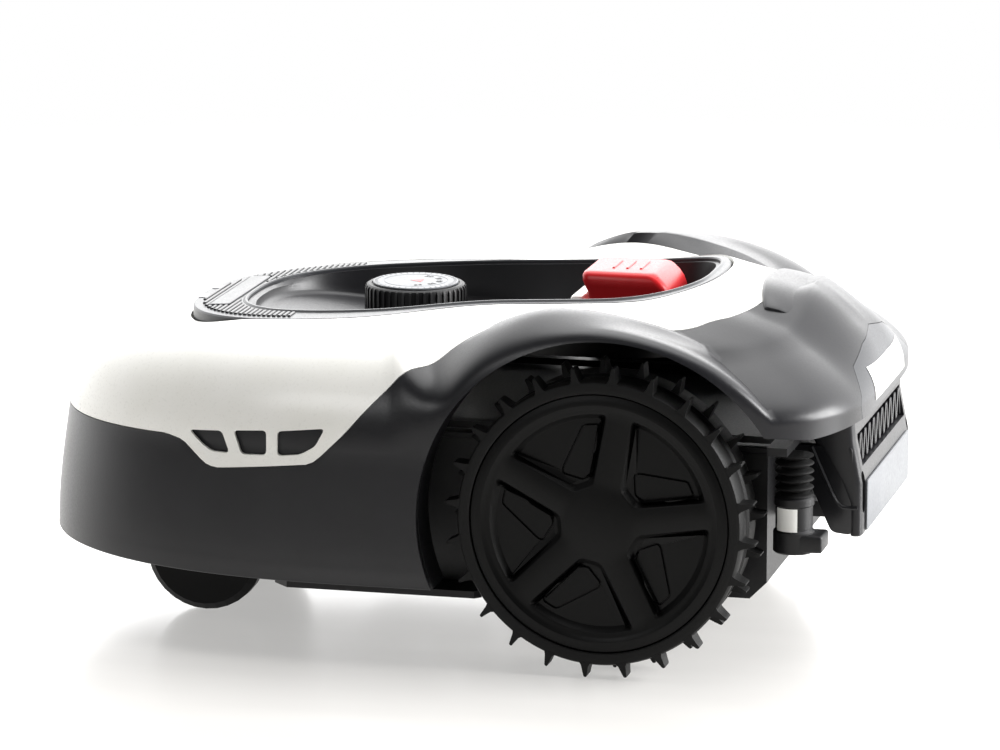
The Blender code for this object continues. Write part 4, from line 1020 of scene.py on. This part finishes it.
def make_deck_ridges(finishes):
    """Fine grip ridges across the deck's nose."""
    outer = deck_outline(0.0095, 300)
    inner = recess_outline(-0.0055, 300)
    places = []
    pitch = 0.0040
    x = AXLE_X + 0.246
    while x < DECK_FRONT_X - 0.010:
        wide = half_width_at(outer, x)
        narrow = half_width_at(inner, x)
        if NAME_PLATE[0] - 0.002 < x < NAME_PLATE[1] + 0.002:
            narrow = max(narrow, NAME_PLATE[2] + 0.002)
        if wide - narrow > 0.004:
            for hand in (1, -1):
                middle = (wide + narrow) / 2
                place = Vector((x, hand * middle, deck_height(x)))
                places.append((place, (0, 0, 0), (1, (wide - narrow), 1)))
        x += pitch
    rings = [[Vector((u, v, z)) for u, v in ((-w, -0.5), (w, -0.5), (w, 0.5), (-w, 0.5))]
             for z, w in ((-0.0005, 0.00125), (0.0009, 0.00110), (0.0013, 0.00075))]
    ridges = on_points(loft(rings), finishes["deck"], places)
    piece("deck_grip_ridges", ridges, finishes["shell"], "shell")


def box_steps(x0, x1, y0, y1, corner, steps, on_deck=False):
    """A box with rounded corners through (height, inset) steps; on the deck, heights follow its slope."""
    rings = []
    for z, i in steps:
        ring = rounded_box_ring(x0 + i, x1 - i, y0 + i, y1 - i, z, corner)
        rings.append([Vector((p.x, p.y, deck_height(p.x) + z)) for p in ring] if on_deck else ring)
    return loft(rings)


def make_deck_fittings(finishes):
    rear, front, reach = NAME_PLATE
    plate = box_steps(rear, front, -reach, reach, 0.003,
                      ((-0.0015, 0.0), (0.0012, 0.0), (0.0016, 0.0005)), True)
    piece("name_plate_blank", plate, finishes["deck"], "shell", ["name_plate"])
    for node in ("contact_left", "contact_right"):
        low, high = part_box(node)
        pad = box_steps(low.x, high.x, low.y, high.y, 0.0015,
                        ((-0.0015, 0.0), (0.0005, 0.0), (0.0008, 0.0005)), True)
        piece(node + "_pad", pad, finishes["steel"], "shell", [node])
    low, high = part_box("stop_base")
    base = box_steps(low.x, high.x, low.y, high.y, 0.002,
                     ((low.z, 0.0), (high.z - 0.002, 0.0), (high.z - 0.0006, 0.0007), (high.z, 0.002)))
    piece("stop_base_block", base, finishes["pale"], "shell", ["stop_base"])
    low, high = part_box("control_panel")
    panel = box_steps(low.x, high.x, low.y, high.y, 0.004,
                      ((low.z, 0.0), (high.z - 0.001, 0.0), (high.z - 0.0003, 0.0003), (high.z, 0.001)))
    keys = []
    key = [(0, 0.0012), (0.0036, 0.0012), (0.0044, 0.0005), (0.0044, -0.001), (0, -0.001)]
    for k in range(4):
        keys.append(placed(turned(key, 32), moved((low.x + high.x) / 2, low.y + 0.009 + k * 0.014, high.z)))
    piece("control_panel_keys", joined(panel, *keys), finishes["inner"], "shell",
          ["control_panel"])


def make_stop_button(finishes):
    """Red push button: sloped tail, overhanging nose, finger rim along its sides."""
    low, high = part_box("stop_button")
    body_low = high.z - 0.034
    levels = [
        (body_low, 0.0055, 0.0010, 0.0020), (body_low + 0.010, 0.0050, 0.0012, 0.0016),
        (high.z - 0.015, 0.0040, 0.0030, 0.0010), (high.z - 0.0105, 0.0018, 0.0050, 0.0004),
        (high.z - 0.0065, 0.0004, 0.0080, 0.0002), (high.z - 0.0030, 0.0002, 0.0115, 0.0010),
        (high.z - 0.0012, 0.0010, 0.0135, 0.0022), (high.z - 0.0003, 0.0028, 0.0155, 0.0042),
        (high.z, 0.0050, 0.0175, 0.0065),
    ]
    rings = [rounded_box_ring(low.x + tail, high.x - front, low.y + side, high.y - side, z, 0.007)
             for z, front, tail, side in levels]
    middle_x = (low.x + high.x) / 2
    stem = placed(turned([(0, body_low + 0.004), (0.010, body_low + 0.004), (0.010, low.z), (0, low.z)], 40),
                  moved(middle_x, 0, 0))
    grips = []
    for k in range(3):
        x = middle_x - 0.006 + 0.010 * k
        ends = [Vector((x, side * 0.0135, high.z - 0.0002)) for side in (-1, 1)]
        grips.append(tube([ends[0], ends[0].lerp(ends[1], 0.5), ends[1]], 0.0011, 10))
    piece("stop_button_cap", joined(loft(rings), stem, *grips), finishes["red"], "stop_button",
          ["stop_button"], 40)


def make_knob(finishes):
    """Serrated height knob with its printed dial."""
    low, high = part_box("height_knob")
    x = (low.x + high.x) / 2
    radius = KNOB_RADIUS - 0.0012
    top = high.z
    profile = [
        (0, top - 0.0008), (radius - 0.0042, top - 0.0008), (radius - 0.0038, top), (radius - 0.0016, top),
        (radius - 0.0004, top - 0.0008), (radius, top - 0.0022), (radius, low.z + 0.001),
        (radius - 0.001, low.z), (0, low.z),
    ]
    tooth_rings = []
    for z, reach, wide in ((low.z + 0.0008, 0.0, 0.0014), (low.z + 0.002, 0.0012, 0.0012),
                           (top - 0.0030, 0.0012, 0.0012), (top - 0.0012, 0.0002, 0.0010),
                           (top - 0.0004, -0.0014, 0.0008)):
        tooth_rings.append([Vector(p) for p in ((-0.0030, -wide, z), (reach, -wide * 0.7, z),
                                                (reach, wide * 0.7, z), (-0.0030, wide, z))])
    teeth = in_ring(loft(tooth_rings), finishes["inner"], KNOB_TEETH, radius)
    body = joined(placed(turned(profile, 132), moved(x, 0, 0)), placed(teeth, moved(x, 0, 0)))
    piece("height_knob_body", body, finishes["inner"], "height_knob", ["height_knob"])
    dial_low, dial_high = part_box("knob_dial")
    reach = (dial_high.x - dial_low.x) / 2
    face = dial_high.z
    dial = turned([(0, face), (reach - 0.0086, face), (reach - 0.0083, face - 0.0003),
                   (reach - 0.0077, face - 0.0003), (reach - 0.0074, face), (reach - 0.0004, face),
                   (reach, face - 0.0004), (reach, dial_low.z), (0, dial_low.z)], 120)
    piece("knob_dial_plate", placed(dial, moved(x, 0, 0)), finishes["film"], "height_knob",
          ["knob_dial"])
    make_dial_print(finishes, x, face, reach)


def make_dial_print(finishes, x, face, reach):
    """Height marks and their numbers, a hair above the dial."""
    tick = block((-0.0022, -0.00035, 0.0), (0.0, 0.00035, 0.00015))
    ticks = in_ring(tick, finishes["ink"], DIAL_TICKS, reach - 0.0012)
    meshes = [placed(ticks, moved(x, 0, face))]
    for k, number in enumerate(("20", "30", "40", "50", "60")):
        angle = radians(250 - k * 35)
        curve = bpy.data.curves.new("number", "FONT")
        curve.body = number
        curve.size = 0.0065
        curve.align_x = "CENTER"
        curve.align_y = "CENTER"
        curve.extrude = 0.00008
        holder = linked("number", curve)
        flat = finished_mesh(holder)
        bpy.data.objects.remove(holder, do_unlink=True)
        distance = reach - 0.0135
        meshes.append(placed(flat, Matrix.Rotation(angle - pi / 2, 4, "Z"),
                             moved(x + distance * cos(angle), distance * sin(angle), face + 0.0001)))
    piece("knob_dial_numbers", joined(*meshes), finishes["ink"], "height_knob")
    wedge = [(reach * 0.20 * cos(a), reach * 0.20 * sin(a)) for a in (0.0, 2 * pi / 3, 4 * pi / 3)]
    arrow = placed(slab(soft_corners(wedge, 0.001), 0.0, 0.00016), moved(x - 0.002, 0, face))
    piece("knob_dial_pointer", arrow, finishes["red_ink"], "height_knob")


# ---------------------------------------------------------------- drive wheels
def polar(radius, degrees):
    """A point from its radius and its angle."""
    return radius * cos(radians(degrees)), radius * sin(radians(degrees))


def hub_field_outline():
    """One of the five sunk fields between the star's arms, anticlockwise, in metres."""
    arc = [polar(0.0775, 86.0 + k * 4.9) for k in range(13)]
    return soft_corners([polar(0.0275, 98.2)] + arc + [polar(0.028, 130.2)], 0.0042, 5)


def hub_pocket_outline():
    """The outlined pocket inside one sunk field, anticlockwise."""
    corners = [polar(0.0362, 97.5), polar(0.0700, 90.8), polar(0.0699, 99.7), polar(0.0457, 125.0),
               polar(0.0427, 127.4), polar(0.0325, 111.5)]
    return soft_corners(corners, 0.0022, 4)


def hub_face(face, low):
    """Hub cap's outer face with its star and the five outlined pockets, made solid down to low."""
    loops = []
    slopes = ((-0.0012, 0.0), (0.0, 0.0004), (0.0010, 0.0015), (0.0030, 0.0036), (0.0040, 0.0043))
    pocket_steps = ((-0.0008, 0.0043), (-0.0006, 0.0065), (0.0006, 0.0065), (0.0008, 0.0041))
    for k in range(5):
        turn = Matrix.Rotation(2 * pi * k / 5, 2)
        field = [tuple(turn @ Vector(p)) for p in hub_field_outline()]
        pocket = [tuple(turn @ Vector(p)) for p in hub_pocket_outline()]
        for inset, depth in slopes:
            loops.append((inset_loop(field, inset), face - depth))
        for inset, depth in pocket_steps:
            loops.append((inset_loop(pocket, inset), face - depth))
    steps = 120
    for radius, z in ((0.0800, face), (0.0815, face + 0.0004), (0.0838, face + 0.0018),
                      (0.0862, face + 0.0018), (0.0885, face + 0.0010), (0.0906, face + 0.0004),
                      (0.0911, face - 0.0004)):
        loops.append(([on_circle(radius, i, steps) for i in range(steps)], z))
    points, heights, edges = [], [], []
    for outline, z in loops:
        first = len(points)
        count = len(outline)
        points += [Vector(p) for p in outline]
        heights += [z] * count
        edges += [(first + i, first + (i + 1) % count) for i in range(count)]
    flat, _, faces, origins, _, _ = delaunay_2d_cdt(points, edges, [], 1, 1e-7)
    bm = bmesh.new()
    made = []
    for at, sources in zip(flat, origins):
        z = heights[sources[0]] if sources else face
        made.append(bm.verts.new((at.x, at.y, z)))
    for corners in faces:
        bm.faces.new([made[i] for i in corners])
    bmesh.ops.recalc_face_normals(bm, faces=bm.faces)
    rim = [edge for edge in bm.edges if edge.is_boundary]
    skirt = bmesh.ops.extrude_edge_only(bm, edges=rim)["geom"]
    for item in skirt:
        if isinstance(item, bmesh.types.BMVert):
            item.co.z = low
    rim = [item for item in skirt if isinstance(item, bmesh.types.BMEdge) and item.is_boundary]
    bmesh.ops.contextual_create(bm, geom=rim)
    return mesh_of(bm, 1e-7)


def tread_spike():
    """One tread spike along +X: a tapered cleat with a worn tip."""
    rings = []
    for radius, half_thick, half_wide, lean in (
            (-0.0015, 0.0040, 0.0085, 0.0), (0.0, 0.0032, 0.0082, 0.0), (0.0010, 0.0026, 0.0080, 0.0),
            (0.0060, 0.0016, 0.0072, 0.0004), (0.0088, 0.0011, 0.0066, 0.0007),
            (0.0095, 0.0006, 0.0061, 0.0008)):
        rings.append([Vector(p) for p in (
            (radius, lean - half_thick, -half_wide), (radius, lean + half_thick, -half_wide),
            (radius, lean + half_thick, half_wide), (radius, lean - half_thick, half_wide))])
    return loft(rings)


def wheel_meshes(finishes):
    """Tread, rim and cap of the left wheel, as seen face-on with +Z outward."""
    base = WHEEL_RADIUS - SPIKE_HEIGHT
    bore = RIM_RADIUS + GAP
    width = WHEEL_WIDTH
    tyre = turned([
        (bore, 0.001), (bore, width - 0.0010), (bore + 0.0008, width - 0.0004),
        (base - 0.0032, width - 0.0002), (base - 0.0012, width - 0.0010), (base, width - 0.0032),
        (base, width * 0.70), (base - 0.0014, width * 0.66), (base - 0.0014, width * 0.50),
        (base, width * 0.46), (base, 0.0032), (base - 0.0012, 0.0010), (base - 0.0032, 0.0002),
        (bore + 0.0012, 0.0002)], 144)
    spike = tread_spike()
    phase = radians(9.7)
    outer_row = placed(in_ring(spike, finishes["rubber"], SPIKES, base, phase), moved(0, 0, width - 0.0092))
    inner_row = placed(in_ring(spike.copy(), finishes["rubber"], SPIKES, base, phase + pi / SPIKES),
                       moved(0, 0, 0.0150))
    web = width - 0.014
    rim = turned([
        (0.0073, web), (0.0290, web), (0.0300, web - 0.001), (RIM_RADIUS - 0.0060, web - 0.001),
        (RIM_RADIUS, web), (RIM_RADIUS, 0.0022), (RIM_RADIUS - 0.0008, 0.0012),
        (RIM_RADIUS - 0.0034, 0.0012), (RIM_RADIUS - 0.0042, 0.0022), (RIM_RADIUS - 0.0042, web - 0.0045),
        (0.0200, web - 0.0045), (0.0180, web - 0.0065), (0.0180, web - 0.020), (0.0073, web - 0.020)], 120)
    rib = block((0.018, -0.0012, web - 0.018), (RIM_RADIUS - 0.0040, 0.0012, web - 0.0043))
    ribs = in_ring(rib, finishes["nylon"], 10, 0.0)
    return {
        "tread": (joined(tyre, outer_row, inner_row), "rubber", "rubber", "tyre", 32),
        "wheel_rim": (joined(rim, ribs), "nylon", "wheel_plastic", "rim", 32),
        "wheel_cap": (hub_face(width - 0.0022, web + 0.0050), "nylon", "wheel_plastic", "hub_cap", 24),
    }


def make_wheels(finishes):
    for label, (mesh, finish, slot, node, angle) in wheel_meshes(finishes).items():
        left = placed(mesh, FACE_LEFT, moved(AXLE_X, WHEEL_INNER_Y, AXLE_Z))
        right = placed(left.copy(), MIRROR_Y)
        for name, side in (("left", left), ("right", right)):
            piece(f"{label}_{name}", side, finishes[finish], f"drive_wheel_{name}",
                  [f"{node}_{name}"], angle)


# ---------------------------------------------------------------- tail
def tail_face_x(z):
    """Rearmost x of the tail at a height."""
    face = REAR_X + 0.0018
    return face + along(z, [(0.200, 0.007), (0.170, 0.007), (0.156, 0.006), (0.126, 0.0), (0.080, 0.0)])


def make_tail(finishes):
    """Rear housing with rounded corners, a vent band and the blank rating plate."""
    low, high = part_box("tail_housing")
    rings = []
    levels = [low.z, low.z + 0.0012, low.z + 0.004, 0.100, 0.112, 0.126, 0.1265, 0.140, 0.156,
              high.z - 0.001, high.z]
    for z in levels:
        tuck = 0.0012 if z in (low.z, high.z) else 0.0
        front = along(z, [(0.200, AXLE_X - 0.1365), (0.170, AXLE_X - 0.137), (0.156, AXLE_X - 0.131),
                          (0.115, REAR_X + 0.0138), (0.080, REAR_X + 0.0098)])
        wide = TAIL_HALF_WIDTH - tuck
        rear = tail_face_x(z) + tuck
        points = [(rear, -wide), (front, -wide), (front, wide), (rear, wide)]
        rings.append([Vector((x, y, z)) for x, y in soft_corners(points, 0.007, 7)])
    body = loft(rings)
    band = block((REAR_X - 0.01, -0.086, 0.1365), (tail_face_x(0.158) + 0.0045, 0.086, 0.1590))
    body = carved(body, band)
    for hand in (1, -1):
        notch = placed(turned([(0, 0.0150), (0.0040, 0.0140), (0.0055, 0.0110), (0.0055, -0.0110),
                               (0.0040, -0.0140), (0, -0.0150)], 24), Matrix.Scale(0.7, 4, (0, 1, 0)),
                       moved(REAR_X + 0.0030, hand * 0.0905, 0.1190))
        body = carved(body, notch)
    bar_low = low.x + 0.006
    bar = block((bar_low, -0.080, 0.097), (high.x, 0.080, 0.108))
    beads = []
    for hand in (1, -1):
        y = hand * (TAIL_HALF_WIDTH - 0.0003)
        path = [Vector((x, y, z)) for x, z in from_axle((
            (-0.1310, 0.151), (-0.1345, 0.143), (-0.1405, 0.130), (-0.1455, 0.119),
            (-0.1490, 0.1125), (-0.1530, 0.1092), (-0.1600, 0.1085), (-0.1640, 0.1090)))]
        beads.append(tube(path, 0.0014, 8))
    wings = []
    wing = soft_corners(from_axle([(-0.1600, 0.152), (-0.1600, 0.089), (-0.1455, 0.0905), (-0.1175, 0.152)]),
                        0.004)
    for hand in (1, -1):
        reach = sorted((hand * (TAIL_HALF_WIDTH - 0.008), hand * (TAIL_HALF_WIDTH - 0.0002)))
        wings.append(rounded_edges(slab(wing, *reach, "Y"), 0.0008, 2))
    piece("tail_housing_moulding", joined(body, bar, *wings, *beads), finishes["shell"], "chassis",
          ["tail_housing"], 35)
    places = []
    for k in range(VENT_RIBS):
        y = -0.0815 + 0.163 * k / (VENT_RIBS - 1)
        lean = radians(17 if k % 2 else -17)
        places.append((Vector((tail_face_x(0.148) + 0.0030, y, 0.1478)), (lean, 0, 0), (1, 1, 1)))
    rib = rounded_edges(block((-0.0026, -0.0012, -0.0108), (0.0020, 0.0012, 0.0108)), 0.0004, 1)
    ribs = on_points(rib, finishes["shell"], places)
    back = block((tail_face_x(0.148) + 0.0046, -0.0855, 0.137), (tail_face_x(0.148) + 0.0052, 0.0855, 0.1585))
    piece("tail_vent_ribs", joined(ribs, back), finishes["shell"], "chassis")
    low, high = LABEL_LOW, LABEL_HIGH
    rings = []
    for x, inset in ((low.x, 0.0008), (low.x + 0.0004, 0.0), (high.x, 0.0)):
        points = soft_corners([(low.y + inset, low.z + inset), (high.y - inset, low.z + inset),
                               (high.y - inset, high.z - inset), (low.y + inset, high.z - inset)], 0.003)
        rings.append([Vector((x, y, z)) for y, z in points])
    piece("rating_plate_blank", loft(rings), finishes["film"], "chassis", ["label_plate"])


def skin_tree(sections):
    """The body's outer surface, for pieces that lie on it."""
    bm = bmesh.new()
    bm.from_mesh(surface_mesh(sections))
    tree = BVHTree.FromBMesh(bm)
    bm.free()
    return tree


def make_panel_label(finishes, skin):
    """Blank pale label that lies on the rear panel's curve."""
    across, up = 28, 8
    bm = bmesh.new()
    rows = []
    for j in range(up + 1):
        z = REAR_EDGE_Z + 0.006 + 0.023 * j / up
        row = []
        for i in range(across + 1):
            y = -0.058 + 0.116 * i / across
            hit, normal, _, _ = skin.ray_cast(Vector((REAR_X - 0.1, y, z)), Vector((1, 0, 0)))
            row.append(bm.verts.new(hit + normal * 0.0004))
        rows.append(row)
    for low, high in zip(rows, rows[1:]):
        for i in range(across):
            bm.faces.new((low[i], high[i], high[i + 1], low[i + 1]))
    bmesh.ops.recalc_face_normals(bm, faces=bm.faces)
    if bm.faces[:][0].normal.x > 0:
        bmesh.ops.reverse_faces(bm, faces=bm.faces)
    label = through_modifiers(plain_mesh(bm), ("SOLIDIFY", {"thickness": LABEL_FILM, "offset": -1.0}))
    piece("rear_label_blank", label, finishes["paper"], "shell")


def make_suspension(finishes):
    """Rear posts with their rubber bellows, and a small blank label."""
    for name, hand in (("left", 1), ("right", -1)):
        low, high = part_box(f"boot_{name}")
        x, y = (low.x + high.x) / 2, (low.y + high.y) / 2
        radius = (high.x - low.x) / 2
        folds = 5
        profile = [(0, high.z)]
        for k in range(folds * 8 + 1):
            t = k / (folds * 8)
            wave = 0.5 + 0.5 * cos(2 * pi * folds * t)
            profile.append((radius - 0.0046 * (1 - wave ** 0.8), high.z + (low.z - high.z) * t))
        profile.append((0, low.z))
        piece(f"bellows_{name}", placed(turned(profile, 72), moved(x, y, 0)), finishes["rubber"],
              "chassis", [f"boot_{name}"], 60)
        low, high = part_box(f"rear_post_{name}")
        shaft = turned([(0, high.z), (0.0125, high.z), (0.0140, high.z - 0.0015), (0.0140, high.z - 0.006),
                        (0.0130, high.z - 0.0072), (0.0130, low.z + 0.0165), (0.0145, low.z + 0.0150),
                        (0.0145, low.z + 0.0010), (0.0135, low.z), (0, low.z)], 72)
        foot = rounded_edges(block((low.x, y - 0.013, low.z + 0.002), (x + 0.008, y + 0.013, low.z + 0.014)),
                             0.0018, 3)
        piece(f"suspension_post_{name}", joined(placed(shaft, moved(x, y, 0)), foot), finishes["inner"],
              "chassis", [f"rear_post_{name}"])
        grid = []
        for j in range(2):
            grid.append([Vector((0.0133 * cos(a), 0.0133 * sin(a), low.z + 0.0150 + 0.0175 * j))
                         for a in [radians(38 + 72 * i / 12) for i in range(13)]])
        bm = bmesh.new()
        rows = [[bm.verts.new(p) for p in row] for row in grid]
        for i in range(12):
            bm.faces.new((rows[0][i + 1], rows[0][i], rows[1][i], rows[1][i + 1]))
        tag = through_modifiers(plain_mesh(bm), ("SOLIDIFY", {"thickness": LABEL_FILM, "offset": 1.0}))
        if hand < 0:
            tag = placed(tag, MIRROR_Y)
        piece(f"post_tag_{name}", placed(tag, moved(x, y, 0)), finishes["paper"], "chassis")


def make_rear_cover(finishes, skin):
    """Raised cover across the hood's rear edge, sinking into the rear slope behind."""
    lifts = ((0.079, -0.0030), (0.0795, 0.0020), (0.082, 0.0034), (0.090, 0.0036), (0.100, 0.0028),
             (0.109, 0.0014), (0.117, -0.0012))
    half_span = 0.062
    rings = []
    for j in range(33):
        y = half_span * (2 * j / 32 - 1)
        taper = 1 - 0.25 * blend(0.9, 1.0, abs(y) / half_span)
        upper = []
        for back, lift in lifts:
            x = AXLE_X - back - 0.010 * (abs(y) / half_span) ** 2
            hit = skin.ray_cast(Vector((x, y, 0.5)), Vector((0, 0, -1)))[0]
            upper.append(Vector((x, y, hit.z + lift * (taper if lift > 0 else 1.0))))
        lower = [Vector((p.x, p.y, p.z - 0.007)) for p in reversed(upper[2:])]
        rings.append(upper + lower)
    piece("hood_rear_cover", rounded_edges(loft(rings), 0.0007, 2, 40), finishes["shell"], "shell")


# ---------------------------------------------------------------- studio
def make_floor():
    bm = bmesh.new()
    bmesh.ops.create_grid(bm, x_segments=1, y_segments=1, size=7.0)
    mesh = plain_mesh(bm)
    floor = linked("studio_floor", mesh)
    floor.location.z = -0.0004
    material, tree, shader, place = start_material("lacquered_table_white")
    drawn = put(tree, "ShaderNodeMapping", {"Scale": (0.35, 1.6, 1.0)}, {"Vector": place}).outputs["Vector"]
    veins = speckle(tree, drawn, 260, 3.0)
    tree.links.new(two_tone(tree, veins, "#B4B2AF", "#A5A3A0"), shader.inputs["Base Color"])
    shader.inputs["Roughness"].default_value = 0.22
    shader.inputs["Emission Color"].default_value = linear("#FFFEFC")
    shader.inputs["Emission Strength"].default_value = 0.42
    distance = put(tree, "ShaderNodeVectorMath", {"operation": "LENGTH"}, {0: place})
    fade = put(tree, "ShaderNodeMapRange",
               {"interpolation_type": "SMOOTHSTEP", "From Min": 0.9, "From Max": 2.2},
               {"Value": distance.outputs["Value"]})
    clear = put(tree, "ShaderNodeBsdfTransparent")
    mix = put(tree, "ShaderNodeMixShader", {}, {0: fade.outputs["Result"], 1: shader.outputs[0],
                                                2: clear.outputs[0]})
    tree.links.new(mix.outputs[0], tree.nodes["Material Output"].inputs["Surface"])
    mesh.materials.append(material)


def add_area(name, place, target, size, power):
    light = bpy.data.lights.new(name, "AREA")
    light.shape = "RECTANGLE"
    light.size, light.size_y = size
    light.energy = power
    obj = linked(name, light)
    obj.location = place
    obj.rotation_euler = (Vector(target) - Vector(place)).to_track_quat("-Z", "Y").to_euler()


def make_studio():
    """White studio: bright behind and at the rear end, dim on the camera's side."""
    world = bpy.data.worlds.new("studio")
    bpy.context.scene.world = world
    world.use_nodes = True
    tree = world.node_tree
    background = tree.nodes["Background"]
    out = tree.nodes["World Output"]
    place = put(tree, "ShaderNodeTexCoord").outputs["Generated"]
    axes = put(tree, "ShaderNodeSeparateXYZ", {}, {"Vector": place})
    behind = put(tree, "ShaderNodeMapRange", {"interpolation_type": "SMOOTHSTEP", "From Min": 0.45,
                                              "From Max": -0.55, "To Min": 0.03, "To Max": 2.6},
                 {"Value": axes.outputs["Y"]})
    tree.links.new(behind.outputs["Result"], background.inputs["Strength"])
    background.inputs["Color"].default_value = (1.0, 1.0, 1.0, 1.0)
    plain = put(tree, "ShaderNodeBackground", {"Color": (1.0, 1.0, 1.0, 1.0), "Strength": 1.0})
    seen = put(tree, "ShaderNodeLightPath")
    mix = put(tree, "ShaderNodeMixShader", {}, {0: seen.outputs["Is Camera Ray"], 1: background.outputs[0],
                                                2: plain.outputs[0]})
    tree.links.new(mix.outputs[0], out.inputs["Surface"])
    middle = (0.0, 0.0, 0.12)
    add_area("softbox_top", (-0.2, -0.3, 2.2), middle, (2.2, 1.6), 24)
    add_area("softbox_rear", (-2.4, -0.3, 0.9), middle, (1.6, 1.4), 130)
    add_area("softbox_back", (0.3, -2.6, 1.2), middle, (2.6, 1.2), 20)
    add_area("softbox_camera_side", (0.9, 2.6, 1.5), middle, (1.2, 0.8), 13)
    bpy.context.scene.view_settings.view_transform = "Standard"


def make_camera():
    camera = bpy.data.cameras.new("camera")
    camera.lens = 198
    camera.sensor_width = 36
    obj = linked("camera", camera)
    obj.location = (-0.9489, 3.7863, 0.9982)
    yaw, pitch = radians(13.80), radians(12.00)
    forward = Vector((sin(yaw) * cos(pitch), -cos(yaw) * cos(pitch), -sin(pitch)))
    obj.rotation_euler = forward.to_track_quat("-Z", "Y").to_euler()
    bpy.context.scene.camera = obj


RING = ring_tree()
PLACES = place_tree()
make_camera()
FINISHES = make_finishes()
finish_frame_nodes(FINISHES)
SECTIONS = make_shell(FINISHES)
make_deck(FINISHES)
make_stop_button(FINISHES)
make_knob(FINISHES)
make_wheels(FINISHES)
make_tail(FINISHES)
SKIN_TREE = skin_tree(SECTIONS)
make_panel_label(FINISHES, SKIN_TREE)
make_suspension(FINISHES)
make_rear_cover(FINISHES, SKIN_TREE)
make_floor()
make_studio()
